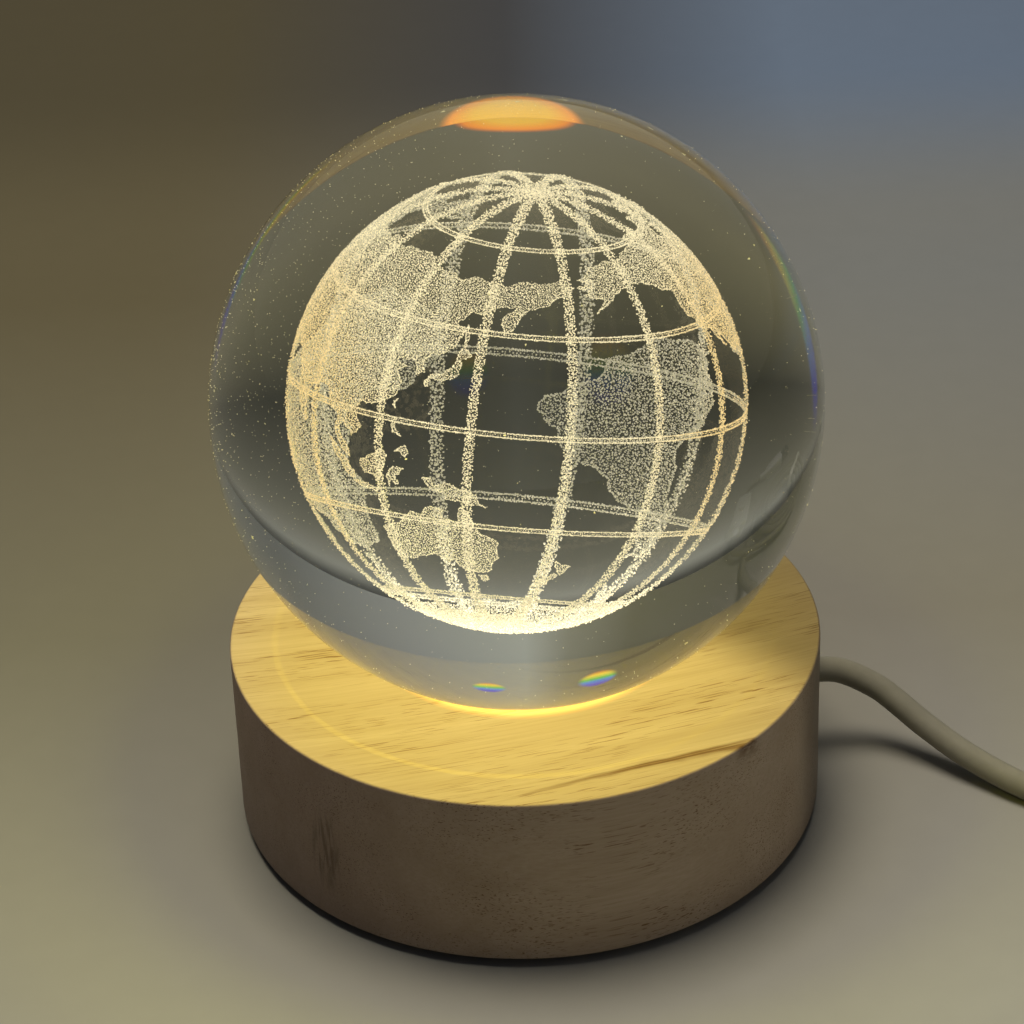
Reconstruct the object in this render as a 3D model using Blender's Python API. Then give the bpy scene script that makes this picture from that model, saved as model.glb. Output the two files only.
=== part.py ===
# Crystal ball lamp: a solid glass ball that rests in a dish turned into a round wooden base.
# Four LEDs under a clear window light the ball from below through a well in the wood.
# The cord leaves the base at the back right, is put away in a round coil, and carries
# a push switch and a flat connector plug.
# Units are metres. +Z is up, the floor is z = 0, and -Y is the front.

import math

import bmesh
import bpy
from mathutils import Matrix, Vector

MM = 0.001

# Fits that all pieces share
FIT_GAP = 0.3 * MM              # clearance between pieces that touch
CUT_OVERRUN = 1.0 * MM          # how far a cutter stands out of what it cuts
MERGE = 0.0001 * MM             # points nearer than this are one point
SMOOTH_ANGLE = math.radians(30.0)

# Crystal ball
BALL_RADIUS = 40.0 * MM
BALL_SEGMENTS = 40
BALL_RINGS = 20

# Globe engraved in the ball: a thin layer of cracks, drawn as a grid of degrees
GLOBE_SHARE = 0.49              # globe's radius, as a share of the ball's
GLOBE_LAYER = 0.4 * MM          # thickness of the cracked layer
GLOBE_TILT = math.radians(21.3)     # from upright to the globe's north
GLOBE_HEADING = math.radians(70.4)  # where north leans to, turned from +X towards +Y
GLOBE_SPIN = math.radians(4.0)      # first meridian, from the way that north leans
MERIDIAN_COUNT = 12
MERIDIAN_WIDTH = 1.05 * MM
PARALLELS = [math.radians(degrees) for degrees in (-60, -30, 0, 30, 60)]
PARALLEL_WIDTH = 0.7 * MM
POLE_CAP = math.radians(78.0)       # beyond it the meridians run together
BORE_RADIUS = 0.5 * MM              # bore from the engraved layer out to the ball's skin

# Wooden base
BASE_THICKNESS = 25.0 * MM
BASE_EDGE = 0.35 * MM           # sanded flat on the rims
SEAT_DEPTH = 5.0 * MM           # how deep the ball's dish is turned into the top
POCKET_WALL = 13.0 * MM         # wood round the pocket for the light unit
WELL_SHARE = 5.0 / 9.0          # light well's radius, as a share of the pocket's
COVER_LEDGE = 5.3 * MM          # width of the ledge that the cover lies on
BASE_SEGMENTS = 72
DISH_STEPS = 4

# Pad and cover under the base
PAD_THICKNESS = 1.0 * MM
PAD_INSET = 2.0 * MM            # how far the pad stays inside the wood's edge
PAD_EDGE = 0.25 * MM
COVER_THICKNESS = 2.0 * MM
COVER_EDGE = 0.3 * MM
COVER_SEGMENTS = 48

# Clear window, LED holder and board
WINDOW_LAP = 2.0 * MM           # window that the wood covers round the light well
WINDOW_THICKNESS = 2.0 * MM
WINDOW_EDGE = 0.3 * MM
HOLDER_SIDE_GAP = 1.4 * MM      # between the holder's flange and the pocket wall
FLANGE_THICKNESS = 1.8 * MM
FLANGE_WIDTH = 4.6 * MM         # flange outside the skirt, where the screws go
PASSAGE_STEP = 2.0 * MM         # how far the holder's light passage is inside the well
PASSAGE_HEIGHT = 2.5 * MM
SKIRT_WALL = 2.0 * MM
SKIRT_OVERHANG = 1.0 * MM       # how far the skirt reaches below the board
HOLDER_SEGMENTS = 48
BOARD_THICKNESS = 1.6 * MM
LED_SIZE = 5.0 * MM
LED_HEIGHT = 1.5 * MM
LED_EDGE = 0.25 * MM
LED_LENS_RADIUS = 2.0 * MM
LED_LENS_DEPTH = 0.35 * MM
LED_RING_SHARE = 0.58           # circle that the LEDs stand on, in the light passage
LED_COUNT = 4
RESISTOR_LENGTH = 3.2 * MM
RESISTOR_WIDTH = 1.6 * MM
RESISTOR_HEIGHT = 0.6 * MM
RESISTOR_OFF_CENTRE = 6.0 * MM
RESISTOR_SPREAD = 4.0 * MM

# Screws: shank radius, length under the head, head radius, head height
SCREW_SEGMENTS = 16
HOLDER_SCREW_SHANK = 1.1 * MM
HOLDER_SCREW_ROOF = 3.7 * MM    # wood left between the screw's tip and the base's top
HOLDER_SCREW_HEAD = 1.9 * MM
HOLDER_SCREW_HEAD_HEIGHT = 1.3 * MM
HOLDER_SCREW_COUNT = 3
BOARD_SCREW_SHANK = 0.9 * MM
BOARD_SCREW_LENGTH = 3.7 * MM
BOARD_SCREW_HEAD = 1.6 * MM
BOARD_SCREW_HEAD_HEIGHT = 1.1 * MM
BOARD_SCREW_INSET = 2.7 * MM    # from the board's rim to the screw's axis
BOARD_SCREW_COUNT = 2
COVER_SCREW_SHANK = 1.0 * MM
COVER_SCREW_LENGTH = 9.0 * MM
COVER_SCREW_HEAD = 1.7 * MM
COVER_SCREW_HEAD_HEIGHT = 1.0 * MM
COVER_SCREW_COUNT = 3
PILOT_SPARE = 0.6 * MM          # depth of a pilot hole past the screw's tip
SCREW_TIP = 0.5 * MM

# Cord and its exit from the base
CORD_RADIUS = 1.8 * MM
CORD_BORE_GAP = 0.4 * MM
EXIT_ANGLE = math.radians(12.0)     # turned from +X towards +Y
EXIT_HEIGHT = 11.5 * MM
JACKET_INSIDE = 3.5 * MM            # jacket that reaches past the pocket's wall
TIE_WIDTH = 2.4 * MM                # small nylon tie that stops the cord pulling out
TIE_THICKNESS = 0.9 * MM
TIE_HEAD = 3.4 * MM
TIE_EDGE = 0.3 * MM
TIE_CLEARANCE = 0.4 * MM            # from the tie up to the holder's flange
TIE_SEGMENTS = 20
LEAD_RADIUS = 0.55 * MM
LEAD_SPREAD = 0.8 * MM              # from the cord's axis to each lead's axis
LEAD_LANDING_INSET = 4.7 * MM       # from the board's rim to where the leads are soldered

# Coil of the cord that is put away, to the right of the lamp
COIL_CENTRE = Vector((106.0 * MM, 13.0 * MM, 0))
COIL_INNER_RADIUS = 14.4 * MM       # axis of the innermost turn
COIL_PITCH = 4.1 * MM               # from turn to turn and from layer to layer
COIL_TURNS = 6.75
COIL_LAYERS = 2
COIL_START_ANGLE = math.radians(270.0)
COIL_CLIMB_TURNS = 0.5
TURN_SEGMENTS = 24
LEAST_COIL_GAP = 0.4 * MM
BAND_THICKNESS = 0.6 * MM           # tie round the coil's bundle
BAND_WIDTH = 4.0 * MM
BAND_GAP = 0.5 * MM
BAND_CORNER = 2.5 * MM
BAND_CORNER_STEPS = 4
BAND_ANGLE = math.radians(60.0)

# Push switch on the cord
SWITCH_CENTRE = Vector((117.0 * MM, -31.0 * MM, 0))
SWITCH_LENGTH = 36.0 * MM
SWITCH_WIDTH = 15.0 * MM
SWITCH_HEIGHT = 11.0 * MM
SWITCH_WALL = 1.5 * MM
SWITCH_CROWN = 1.6 * MM             # height of the rounded shoulder on top
SWITCH_FOOT = 0.7 * MM              # chamfer round the underside
SWITCH_CORNER = 3.5 * MM
SWITCH_CORNER_STEPS = 4
SWITCH_PARTING = 5.7 * MM           # height of the line where the shells meet
POST_RADIUS = 1.7 * MM
POST_ALONG = 11.5 * MM
POST_ACROSS = 4.0 * MM
SWITCH_SCREW_SHANK = 0.8 * MM
SWITCH_SCREW_LENGTH = 6.5 * MM
SWITCH_SCREW_HEAD = 1.4 * MM
SWITCH_SCREW_HEAD_HEIGHT = 0.9 * MM
BUTTON_RADIUS = 3.6 * MM
BUTTON_STANDS_OUT = 1.9 * MM
BUTTON_TRAVEL = 1.2 * MM
BUTTON_DISH = 0.3 * MM              # hollow in the button's top
BUTTON_EDGE = 0.4 * MM
BUTTON_FLANGE = 1.0 * MM            # width and height of the rim that keeps it in
BUTTON_STEM_RADIUS = 1.4 * MM
BUTTON_SEGMENTS = 24
BUSH_LENGTH = 9.0 * MM              # tapered sleeve where the cord enters the switch
BUSH_INSIDE = 3.2 * MM
BUSH_ROOT_RADIUS = 3.1 * MM
BUSH_TIP_RADIUS = 2.5 * MM
BUSH_COLLAR = 0.5 * MM              # rim that the shells hold
BUSH_SEGMENTS = 20
CONTACT_THICKNESS = 0.3 * MM
CONTACT_WIDTH = 3.0 * MM
CONTACT_LENGTH = 9.0 * MM
CONTACT_RISE = 2.0 * MM
CONTACT_BEND = 2.5 * MM

# Flat connector plug
PLUG_CORD_END = Vector((160.0 * MM, -12.0 * MM, 0))   # where the cord enters the plug
GRIP_LENGTH = 24.0 * MM
GRIP_SIDE = 1.0 * MM                # plastic beside the shell
GRIP_COVER = 1.55 * MM              # plastic above and below the shell
GRIP_WAIST = 0.8 * MM               # how much narrower the grip is at the cord's end
GRIP_EDGE = 1.4 * MM
GRIP_EDGE_STEPS = 2
RELIEF_LENGTH = 9.0 * MM
RELIEF_ROOT_RADIUS = 3.4 * MM
RELIEF_TIP_RADIUS = 2.9 * MM
RELIEF_RIBS = 3
RELIEF_GROOVE = 0.5 * MM
PLUG_SHELL_WIDTH = 12.0 * MM
PLUG_SHELL_HEIGHT = 4.5 * MM
PLUG_SHELL_OUT = 12.0 * MM
PLUG_SHELL_IN = 5.0 * MM
PLUG_SHELL_WALL = 0.4 * MM
PLUG_SHELL_CORNER = 0.6 * MM
PLUG_WINDOW_WIDTH = 2.2 * MM
PLUG_WINDOW_LENGTH = 2.4 * MM
PLUG_WINDOW_SPREAD = 2.9 * MM
PLUG_WINDOW_FROM_MOUTH = 5.0 * MM
TONGUE_HEIGHT = 1.6 * MM
TONGUE_RECESS = 0.9 * MM
PLUG_CONTACT_WIDTH = 1.0 * MM
PLUG_CONTACT_HEIGHT = 0.2 * MM
PLUG_CONTACT_LENGTH = 7.5 * MM
PLUG_CONTACT_SHORTER = 1.0 * MM
PLUG_CONTACT_SHARES = (-0.33, -0.095, 0.095, 0.33)     # places across the tongue

# The cord's route, chosen by hand. The first stretch is laid out from the point
# where the cord leaves the base, the others from the pieces that they start at.
LAMP_ROUTE = [
    (2.0 * MM, 0.43 * MM, -0.05 * MM),
    (5.0 * MM, 0.65 * MM, -0.55 * MM),
    (9.9 * MM, -0.6 * MM, -2.55 * MM),
    (12.4 * MM, -2.1 * MM, -3.95 * MM),
    (16.5 * MM, -5.3 * MM, -6.3 * MM),
    (22.5 * MM, -10.6 * MM, -8.4 * MM),
    (30.5 * MM, -17.0 * MM, -9.5 * MM),
    (41.0 * MM, -21.8 * MM, -9.5 * MM),
    (52.0 * MM, -23.5 * MM, -9.2 * MM),
]
SWITCH_ROUTE = [
    (0, -10.0 * MM, 0.1 * MM),
    (0.2 * MM, -21.0 * MM, 0),
    (2.2 * MM, -32.0 * MM, -0.5 * MM),
    (8.0 * MM, -38.0 * MM, -1.0 * MM),
]
PLUG_ROUTE = [
    (3.2 * MM, 0.1 * MM, -0.3 * MM),
    (11.2 * MM, 2.1 * MM, -1.2 * MM),
    (17.1 * MM, 8.0 * MM, -1.7 * MM),
]
CORD_STEP_SHARE = 2.1               # spacing of the tube's points, in cord diameters
CURVE_SAMPLES = 24                  # fine steps between two points of a route

# Heights: base and ball from the floor up, then the light unit, which clears the cord
BASE_BOTTOM = PAD_THICKNESS + FIT_GAP
BASE_TOP = BASE_BOTTOM + BASE_THICKNESS
SEAT_RADIUS = BALL_RADIUS + FIT_GAP
GLOBE_RADIUS = BALL_RADIUS * GLOBE_SHARE
BALL_CENTRE_Z = BASE_TOP + SEAT_RADIUS - SEAT_DEPTH
LEDGE_Z = BASE_BOTTOM + COVER_THICKNESS + FIT_GAP
TIE_OUTER_RADIUS = CORD_RADIUS + FIT_GAP + TIE_THICKNESS
FLANGE_UNDERSIDE = EXIT_HEIGHT + TIE_OUTER_RADIUS + TIE_CLEARANCE
HOLDER_TOP = FLANGE_UNDERSIDE + FLANGE_THICKNESS
WEB_UNDERSIDE = HOLDER_TOP + FIT_GAP
WINDOW_SEAT = HOLDER_TOP - WINDOW_THICKNESS - FIT_GAP
BOARD_SEAT = WINDOW_SEAT - PASSAGE_HEIGHT
BOARD_TOP = BOARD_SEAT - FIT_GAP
BOARD_BOTTOM = BOARD_TOP - BOARD_THICKNESS
SKIRT_BOTTOM = BOARD_BOTTOM - SKIRT_OVERHANG
HOLDER_SCREW_SEAT = FLANGE_UNDERSIDE - FIT_GAP
HOLDER_SCREW_LENGTH = BASE_TOP - HOLDER_SCREW_ROOF - HOLDER_SCREW_SEAT

# Radii, from the rim inwards: the base is as wide as the ball
BASE_RADIUS = BALL_RADIUS
SEAT_MOUTH_RADIUS = math.sqrt(SEAT_RADIUS ** 2 - (SEAT_RADIUS - SEAT_DEPTH) ** 2)
POCKET_RADIUS = BASE_RADIUS - POCKET_WALL
REBATE_RADIUS = POCKET_RADIUS + COVER_LEDGE
COVER_SCREW_CIRCLE = POCKET_RADIUS + COVER_LEDGE / 2
HOLDER_RADIUS = POCKET_RADIUS - HOLDER_SIDE_GAP
SKIRT_OUTER_RADIUS = HOLDER_RADIUS - FLANGE_WIDTH
SKIRT_INNER_RADIUS = SKIRT_OUTER_RADIUS - SKIRT_WALL
HOLDER_SCREW_CIRCLE = (HOLDER_RADIUS + SKIRT_OUTER_RADIUS) / 2
BOARD_RADIUS = SKIRT_INNER_RADIUS - FIT_GAP
BOARD_SCREW_CIRCLE = BOARD_RADIUS - BOARD_SCREW_INSET
LEAD_LANDING_RADIUS = BOARD_RADIUS - LEAD_LANDING_INSET
WELL_RADIUS = POCKET_RADIUS * WELL_SHARE
WINDOW_RADIUS = WELL_RADIUS + WINDOW_LAP
PASSAGE_RADIUS = WELL_RADIUS - PASSAGE_STEP
LED_RING_RADIUS = PASSAGE_RADIUS * LED_RING_SHARE

# Cord, coil, switch and plug
EXIT_DIRECTION = Vector((math.cos(EXIT_ANGLE), math.sin(EXIT_ANGLE), 0))
EXIT_POINT = EXIT_DIRECTION * BASE_RADIUS + Vector((0, 0, EXIT_HEIGHT))
CORD_DIAMETER = 2 * CORD_RADIUS
COIL_BOTTOM_LAYER = BAND_THICKNESS + BAND_GAP + CORD_RADIUS
COIL_TOP_LAYER = COIL_BOTTOM_LAYER + COIL_PITCH * (COIL_LAYERS - 1)
COIL_OUTER_RADIUS = COIL_INNER_RADIUS + COIL_PITCH * COIL_TURNS / COIL_LAYERS
SWITCH_CORD_Z = SWITCH_PARTING - FIT_GAP / 2
GRIP_WIDTH = PLUG_SHELL_WIDTH + 2 * GRIP_SIDE
GRIP_HEIGHT = PLUG_SHELL_HEIGHT + 2 * GRIP_COVER
PLUG_CORD_Z = GRIP_HEIGHT / 2


def clear_scene():
    for thing in list(bpy.data.objects):
        bpy.data.objects.remove(thing, do_unlink=True)


def material(name, colour, roughness, metallic=0.0, transmission=0.0):
    """A Principled material with one colour, roughness and metallic value."""
    made = bpy.data.materials.new(name)
    made.use_nodes = True
    shader = made.node_tree.nodes["Principled BSDF"]
    shader.inputs["Base Color"].default_value = (*colour, 1.0)
    shader.inputs["Roughness"].default_value = roughness
    shader.inputs["Metallic"].default_value = metallic
    shader.inputs["Transmission Weight"].default_value = transmission
    made.diffuse_color = (*colour, 1.0)
    return made


def add_object(name, data, finish, location=(0, 0, 0), turn=0.0):
    """Link mesh or curve data as a named object, placed and turned about Z."""
    thing = bpy.data.objects.new(name, data)
    thing.location = location
    thing.rotation_euler = (0, 0, turn)
    bpy.context.scene.collection.objects.link(thing)
    if finish:
        data.materials.append(finish)
    return thing


def mesh_from(name, shape):
    """Close a bmesh, point its faces outwards and shade it smooth."""
    bmesh.ops.remove_doubles(shape, verts=shape.verts, dist=MERGE)
    bmesh.ops.recalc_face_normals(shape, faces=shape.faces)
    data = bpy.data.meshes.new(name)
    shape.to_mesh(data)
    shape.free()
    data.shade_smooth()
    data.set_sharp_from_angle(angle=SMOOTH_ANGLE)
    return data


def turned_mesh(name, profile, segments, closed):
    """Spin a profile of (radius, height) points about Z. An open one ends on the axis."""
    shape = bmesh.new()
    points = [shape.verts.new((radius, 0, height)) for radius, height in profile]
    edges = [shape.edges.new(pair) for pair in zip(points, points[1:])]
    if closed:
        edges.append(shape.edges.new((points[-1], points[0])))
    bmesh.ops.spin(shape, geom=points + edges, cent=(0, 0, 0), axis=(0, 0, 1),
                   angle=2 * math.pi, steps=segments, use_merge=True)
    return mesh_from(name, shape)


def turned(name, profile, segments, finish, closed=False, location=(0, 0, 0)):
    return add_object(name, turned_mesh(name, profile, segments, closed), finish, location)


def disc_profile(radius, low, high, edge):
    """Half section of a disc whose rims have a small flat."""
    return [(0, low), (radius - edge, low), (radius, low + edge),
            (radius, high - edge), (radius - edge, high), (0, high)]


def rod_mesh(name, start, end, radius, segments=SCREW_SEGMENTS):
    """A plain rod between two points."""
    start, end = Vector(start), Vector(end)
    along = end - start
    shape = bmesh.new()
    bmesh.ops.create_cone(shape, cap_ends=True, segments=segments, radius1=radius,
                          radius2=radius, depth=along.length)
    turn = Vector((0, 0, 1)).rotation_difference(along).to_matrix().to_4x4()
    shape.transform(Matrix.Translation((start + end) / 2) @ turn)
    return mesh_from(name, shape)


def block_mesh(name, size, centre, edge=0.0, steps=1):
    """A block with bevelled edges."""
    shape = bmesh.new()
    bmesh.ops.create_cube(shape, size=1.0)
    shape.transform(Matrix.Translation(centre) @ Matrix.Diagonal((*size, 1.0)))
    if edge:
        bmesh.ops.bevel(shape, geom=list(shape.edges), offset=edge, segments=steps,
                        profile=0.5, affect="EDGES")
    return mesh_from(name, shape)


def rings_mesh(name, rings, loop=False):
    """Bridge rings of equal count. The first and last are filled, or joined in a loop."""
    shape = bmesh.new()
    made = [[shape.verts.new(point) for point in ring] for ring in rings]
    pairs = list(zip(made, made[1:]))
    if loop:
        pairs.append((made[-1], made[0]))
    else:
        shape.faces.new(made[0])
        shape.faces.new(made[-1])
    for one, other in pairs:
        for k in range(len(one)):
            after = (k + 1) % len(one)
            shape.faces.new((one[k], one[after], other[after], other[k]))
    return mesh_from(name, shape)


def boolean(target, data, operation):
    """Cut or join a mesh on a target. The helper object is left out of the render."""
    helper = add_object(target.name + "_" + data.name, data, None, target.location)
    helper.rotation_euler = target.rotation_euler
    helper.hide_render = True
    helper.display_type = "WIRE"
    step = target.modifiers.new(data.name, "BOOLEAN")
    step.operation = operation
    step.solver = "EXACT"
    step.object = helper


def on_circle(count, radius, height, first_angle=0.0):
    """Points spaced evenly on a circle about Z."""
    angles = [first_angle + 2 * math.pi * k / count for k in range(count)]
    return [Vector((radius * math.cos(a), radius * math.sin(a), height)) for a in angles]


def screw_mesh(name, shank, length, head, head_height):
    """A flat pan-head screw that points up, with the underside of its head at z = 0."""
    profile = [(0, -head_height), (head - SCREW_TIP, -head_height),
               (head, -head_height + SCREW_TIP), (head, 0), (shank, 0),
               (shank, length - SCREW_TIP), (shank - SCREW_TIP, length), (0, length)]
    return turned_mesh(name, profile, SCREW_SEGMENTS, False)


def sunk_screw_mesh(name, shank, length, head, head_height):
    """A countersunk screw that points up, with the flat of its head at z = 0."""
    profile = [(0, 0), (head, 0), (shank, head_height),
               (shank, length - SCREW_TIP), (shank - SCREW_TIP, length), (0, length)]
    return turned_mesh(name, profile, SCREW_SEGMENTS, False)


def sunk_hole_profile(shank, head, head_height, top):
    """Half section of a hole for a countersunk screw whose head is flush with z = 0."""
    slope = (head - shank) / head_height
    return [(0, -CUT_OVERRUN), (head + FIT_GAP + slope * CUT_OVERRUN, -CUT_OVERRUN),
            (shank + FIT_GAP, head_height), (shank + FIT_GAP, top), (0, top)]


def smooth_curve(points):
    """Fine points on a centripetal curve. The first and last point only steer its ends."""
    fine = []
    for a, b, c, d in zip(points, points[1:], points[2:], points[3:]):
        knots = [0.0]
        for one, other in ((a, b), (b, c), (c, d)):
            knots.append(knots[-1] + math.sqrt((other - one).length))
        t0, t1, t2, t3 = knots
        for k in range(CURVE_SAMPLES):
            t = t1 + (t2 - t1) * k / CURVE_SAMPLES
            ab = a.lerp(b, (t - t0) / (t1 - t0))
            bc = b.lerp(c, (t - t1) / (t2 - t1))
            cd = c.lerp(d, (t - t2) / (t3 - t2))
            abc = ab.lerp(bc, (t - t0) / (t2 - t0))
            bcd = bc.lerp(cd, (t - t1) / (t3 - t1))
            fine.append(abc.lerp(bcd, (t - t1) / (t2 - t1)))
    return fine + [points[-2]]


def evenly(points, spacing):
    """Points at an even spacing along a fine polyline, with both ends kept."""
    lengths = [0.0]
    for one, other in zip(points, points[1:]):
        lengths.append(lengths[-1] + (other - one).length)
    count = max(1, round(lengths[-1] / spacing))
    spaced, k = [], 0
    for step in range(count + 1):
        want = lengths[-1] * step / count
        while k < len(points) - 2 and lengths[k + 1] < want:
            k += 1
        share = (want - lengths[k]) / (lengths[k + 1] - lengths[k])
        spaced.append(points[k].lerp(points[k + 1], min(1.0, share)))
    return spaced


def path_length(points):
    return sum((other - one).length for one, other in zip(points, points[1:]))


def tube(name, points, radius, finish, sides_level):
    """A tube with filled ends along a list of points."""
    data = bpy.data.curves.new(name, "CURVE")
    data.dimensions = "3D"
    data.bevel_depth = radius
    data.bevel_resolution = sides_level
    data.use_fill_caps = True
    spline = data.splines.new("POLY")
    spline.points.add(len(points) - 1)
    for place, point in zip(spline.points, points):
        place.co = (*point, 1.0)
    return add_object(name, data, finish)


def cord_tube(name, start, leave, route, arrive, end, finish):
    """A stretch of cord: straight from start to leave and from arrive to end."""
    spacing = CORD_STEP_SHARE * CORD_DIAMETER
    fine = smooth_curve([start, leave] + route + [arrive, end])
    points = evenly([start, leave], spacing)[:-1] + evenly(fine, spacing)
    points += evenly([arrive, end], spacing)[1:]
    print(name, "length", round(path_length(points) / MM, 1), "mm, points", len(points))
    return tube(name, points, CORD_RADIUS, finish, 2)


def grid_rows(half_width, cap):
    """Latitudes of the grid's rows from south to north, and which strips are parallels."""
    rows, strips = [-cap], []
    for parallel in PARALLELS:
        low, high = parallel - half_width, parallel + half_width
        rows += [(rows[-1] + low) / 2, low, high]
        strips += [False, False, True]
    rows += [(rows[-1] + cap) / 2, cap]
    strips += [False, False]
    return rows, strips


def globe_point(radius, latitude, longitude):
    flat = radius * math.cos(latitude)
    return Vector((flat * math.cos(longitude), flat * math.sin(longitude),
                   radius * math.sin(latitude)))


def globe_turn():
    """Turns the globe's own axis from upright to where its north points."""
    return (Matrix.Rotation(GLOBE_HEADING, 4, "Z") @ Matrix.Rotation(GLOBE_TILT, 4, "Y")
            @ Matrix.Rotation(GLOBE_SPIN, 4, "Z"))


def globe_grid(name, grow):
    """The grid's thin curved bars as one lattice, with every wall moved out by grow."""
    inner = GLOBE_RADIUS - GLOBE_LAYER / 2 - grow
    outer = GLOBE_RADIUS + GLOBE_LAYER / 2 + grow
    rows, strips = grid_rows((PARALLEL_WIDTH / 2 + grow) / GLOBE_RADIUS,
                             POLE_CAP - grow / GLOBE_RADIUS)
    sector = 2 * math.pi / MERIDIAN_COUNT
    shape = bmesh.new()
    sides, middles = [], []
    for latitude in rows:
        reach = (MERIDIAN_WIDTH / 2 + grow) / (GLOBE_RADIUS * math.cos(latitude))
        pairs = [(sector * k - reach, sector * k + reach) for k in range(MERIDIAN_COUNT)]
        sides.append([[shape.verts.new(globe_point(inner, latitude, longitude))
                       for longitude in pair] for pair in pairs])
        middles.append([shape.verts.new(globe_point(inner, latitude, sector * (k + 0.5)))
                        for k in range(MERIDIAN_COUNT)])
    for row, is_parallel in enumerate(strips):
        for k in range(MERIDIAN_COUNT):
            low, high = sides[row], sides[row + 1]
            west, east = (low[k], high[k]), (low[k - 1], high[k - 1])
            shape.faces.new((*west[0], *reversed(west[1])))
            if is_parallel:
                between = middles[row][k - 1], middles[row + 1][k - 1]
                shape.faces.new((east[0][1], between[0], between[1], east[1][1]))
                shape.faces.new((between[0], west[0][0], west[1][0], between[1]))
    for row, side in ((0, -1), (-1, 1)):
        pole = shape.verts.new((0, 0, side * inner))
        rim = [vert for pair in sides[row] for vert in pair]
        for one, other in zip(rim, rim[1:] + rim[:1]):
            shape.faces.new((one, other, pole))
    for vert in [vert for vert in shape.verts if not vert.link_faces]:
        shape.verts.remove(vert)
    made = bmesh.ops.extrude_face_region(shape, geom=list(shape.faces), use_keep_orig=True)
    for vert in made["geom"]:
        if isinstance(vert, bmesh.types.BMVert):
            vert.co *= outer / inner
    shape.transform(globe_turn())
    return mesh_from(name, shape)


def crystal_ball(glass):
    """The glass ball, on the vertical axis that it is lifted along.

    The engraved layer has its own space in the glass. A narrow bore opens that space
    towards the light well, where the wood hides it.
    """
    shape = bmesh.new()
    bmesh.ops.create_uvsphere(shape, u_segments=BALL_SEGMENTS, v_segments=BALL_RINGS,
                              radius=BALL_RADIUS)
    ball = add_object("crystal_ball", mesh_from("crystal_ball", shape), glass,
                      (0, 0, BALL_CENTRE_Z))
    boolean(ball, globe_grid("engraved_space", FIT_GAP), "DIFFERENCE")
    south = globe_turn() @ Vector((0, 0, -1))
    bore = rod_mesh("bore", south * GLOBE_RADIUS, south * (BALL_RADIUS + CUT_OVERRUN),
                    BORE_RADIUS)
    boolean(ball, bore, "DIFFERENCE")
    return ball


def engraved_globe(cracked):
    """The layer of laser cracks: twelve meridians, five parallels and both poles."""
    return add_object("engraved_globe", globe_grid("engraved_globe", 0), cracked,
                      (0, 0, BALL_CENTRE_Z))


def seat_height(radius):
    """Height of the dish at a radius: it is turned to the ball's own curve."""
    return BALL_CENTRE_Z - math.sqrt(SEAT_RADIUS ** 2 - radius ** 2)


def base_profile():
    """Half section of the wood, from the dish down the well and out round the rim."""
    steps = [k / DISH_STEPS for k in range(DISH_STEPS + 1)]
    radii = [SEAT_MOUTH_RADIUS + (WELL_RADIUS - SEAT_MOUTH_RADIUS) * s for s in steps]
    dish = [(radius, seat_height(radius)) for radius in radii]
    return dish + [
        (WELL_RADIUS, WEB_UNDERSIDE),
        (POCKET_RADIUS, WEB_UNDERSIDE),
        (POCKET_RADIUS, LEDGE_Z),
        (REBATE_RADIUS, LEDGE_Z),
        (REBATE_RADIUS, BASE_BOTTOM),
        (BASE_RADIUS - BASE_EDGE, BASE_BOTTOM),
        (BASE_RADIUS, BASE_BOTTOM + BASE_EDGE),
        (BASE_RADIUS, BASE_TOP - BASE_EDGE),
        (BASE_RADIUS - BASE_EDGE, BASE_TOP),
    ]


def screw_angle(count):
    """First angle of a ring of screws, half a step away from the cord's bore."""
    return EXIT_ANGLE + math.pi / count


def wooden_base(wood):
    """The turned base, with the cord's bore and the pilot holes of its screws."""
    base = turned("wooden_base", base_profile(), BASE_SEGMENTS, wood, closed=True)
    height = Vector((0, 0, EXIT_HEIGHT))
    inner = EXIT_DIRECTION * (POCKET_RADIUS - CUT_OVERRUN) + height
    outer = EXIT_DIRECTION * (BASE_RADIUS + CUT_OVERRUN) + height
    bore = rod_mesh("cord_bore", inner, outer, CORD_RADIUS + CORD_BORE_GAP)
    boolean(base, bore, "DIFFERENCE")
    rings = (
        ("holder_pilot", HOLDER_SCREW_COUNT, HOLDER_SCREW_CIRCLE, HOLDER_SCREW_SHANK,
         WEB_UNDERSIDE, HOLDER_SCREW_SEAT + HOLDER_SCREW_LENGTH),
        ("cover_pilot", COVER_SCREW_COUNT, COVER_SCREW_CIRCLE, COVER_SCREW_SHANK,
         LEDGE_Z, BASE_BOTTOM + COVER_SCREW_LENGTH),
    )
    for name, count, circle, shank, mouth, tip in rings:
        for k, place in enumerate(on_circle(count, circle, 0, screw_angle(count))):
            low = place + Vector((0, 0, mouth - CUT_OVERRUN))
            high = place + Vector((0, 0, tip + PILOT_SPARE))
            pilot = rod_mesh(f"{name}_{k + 1}", low, high, shank + FIT_GAP)
            boolean(base, pilot, "DIFFERENCE")
    return base


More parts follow.
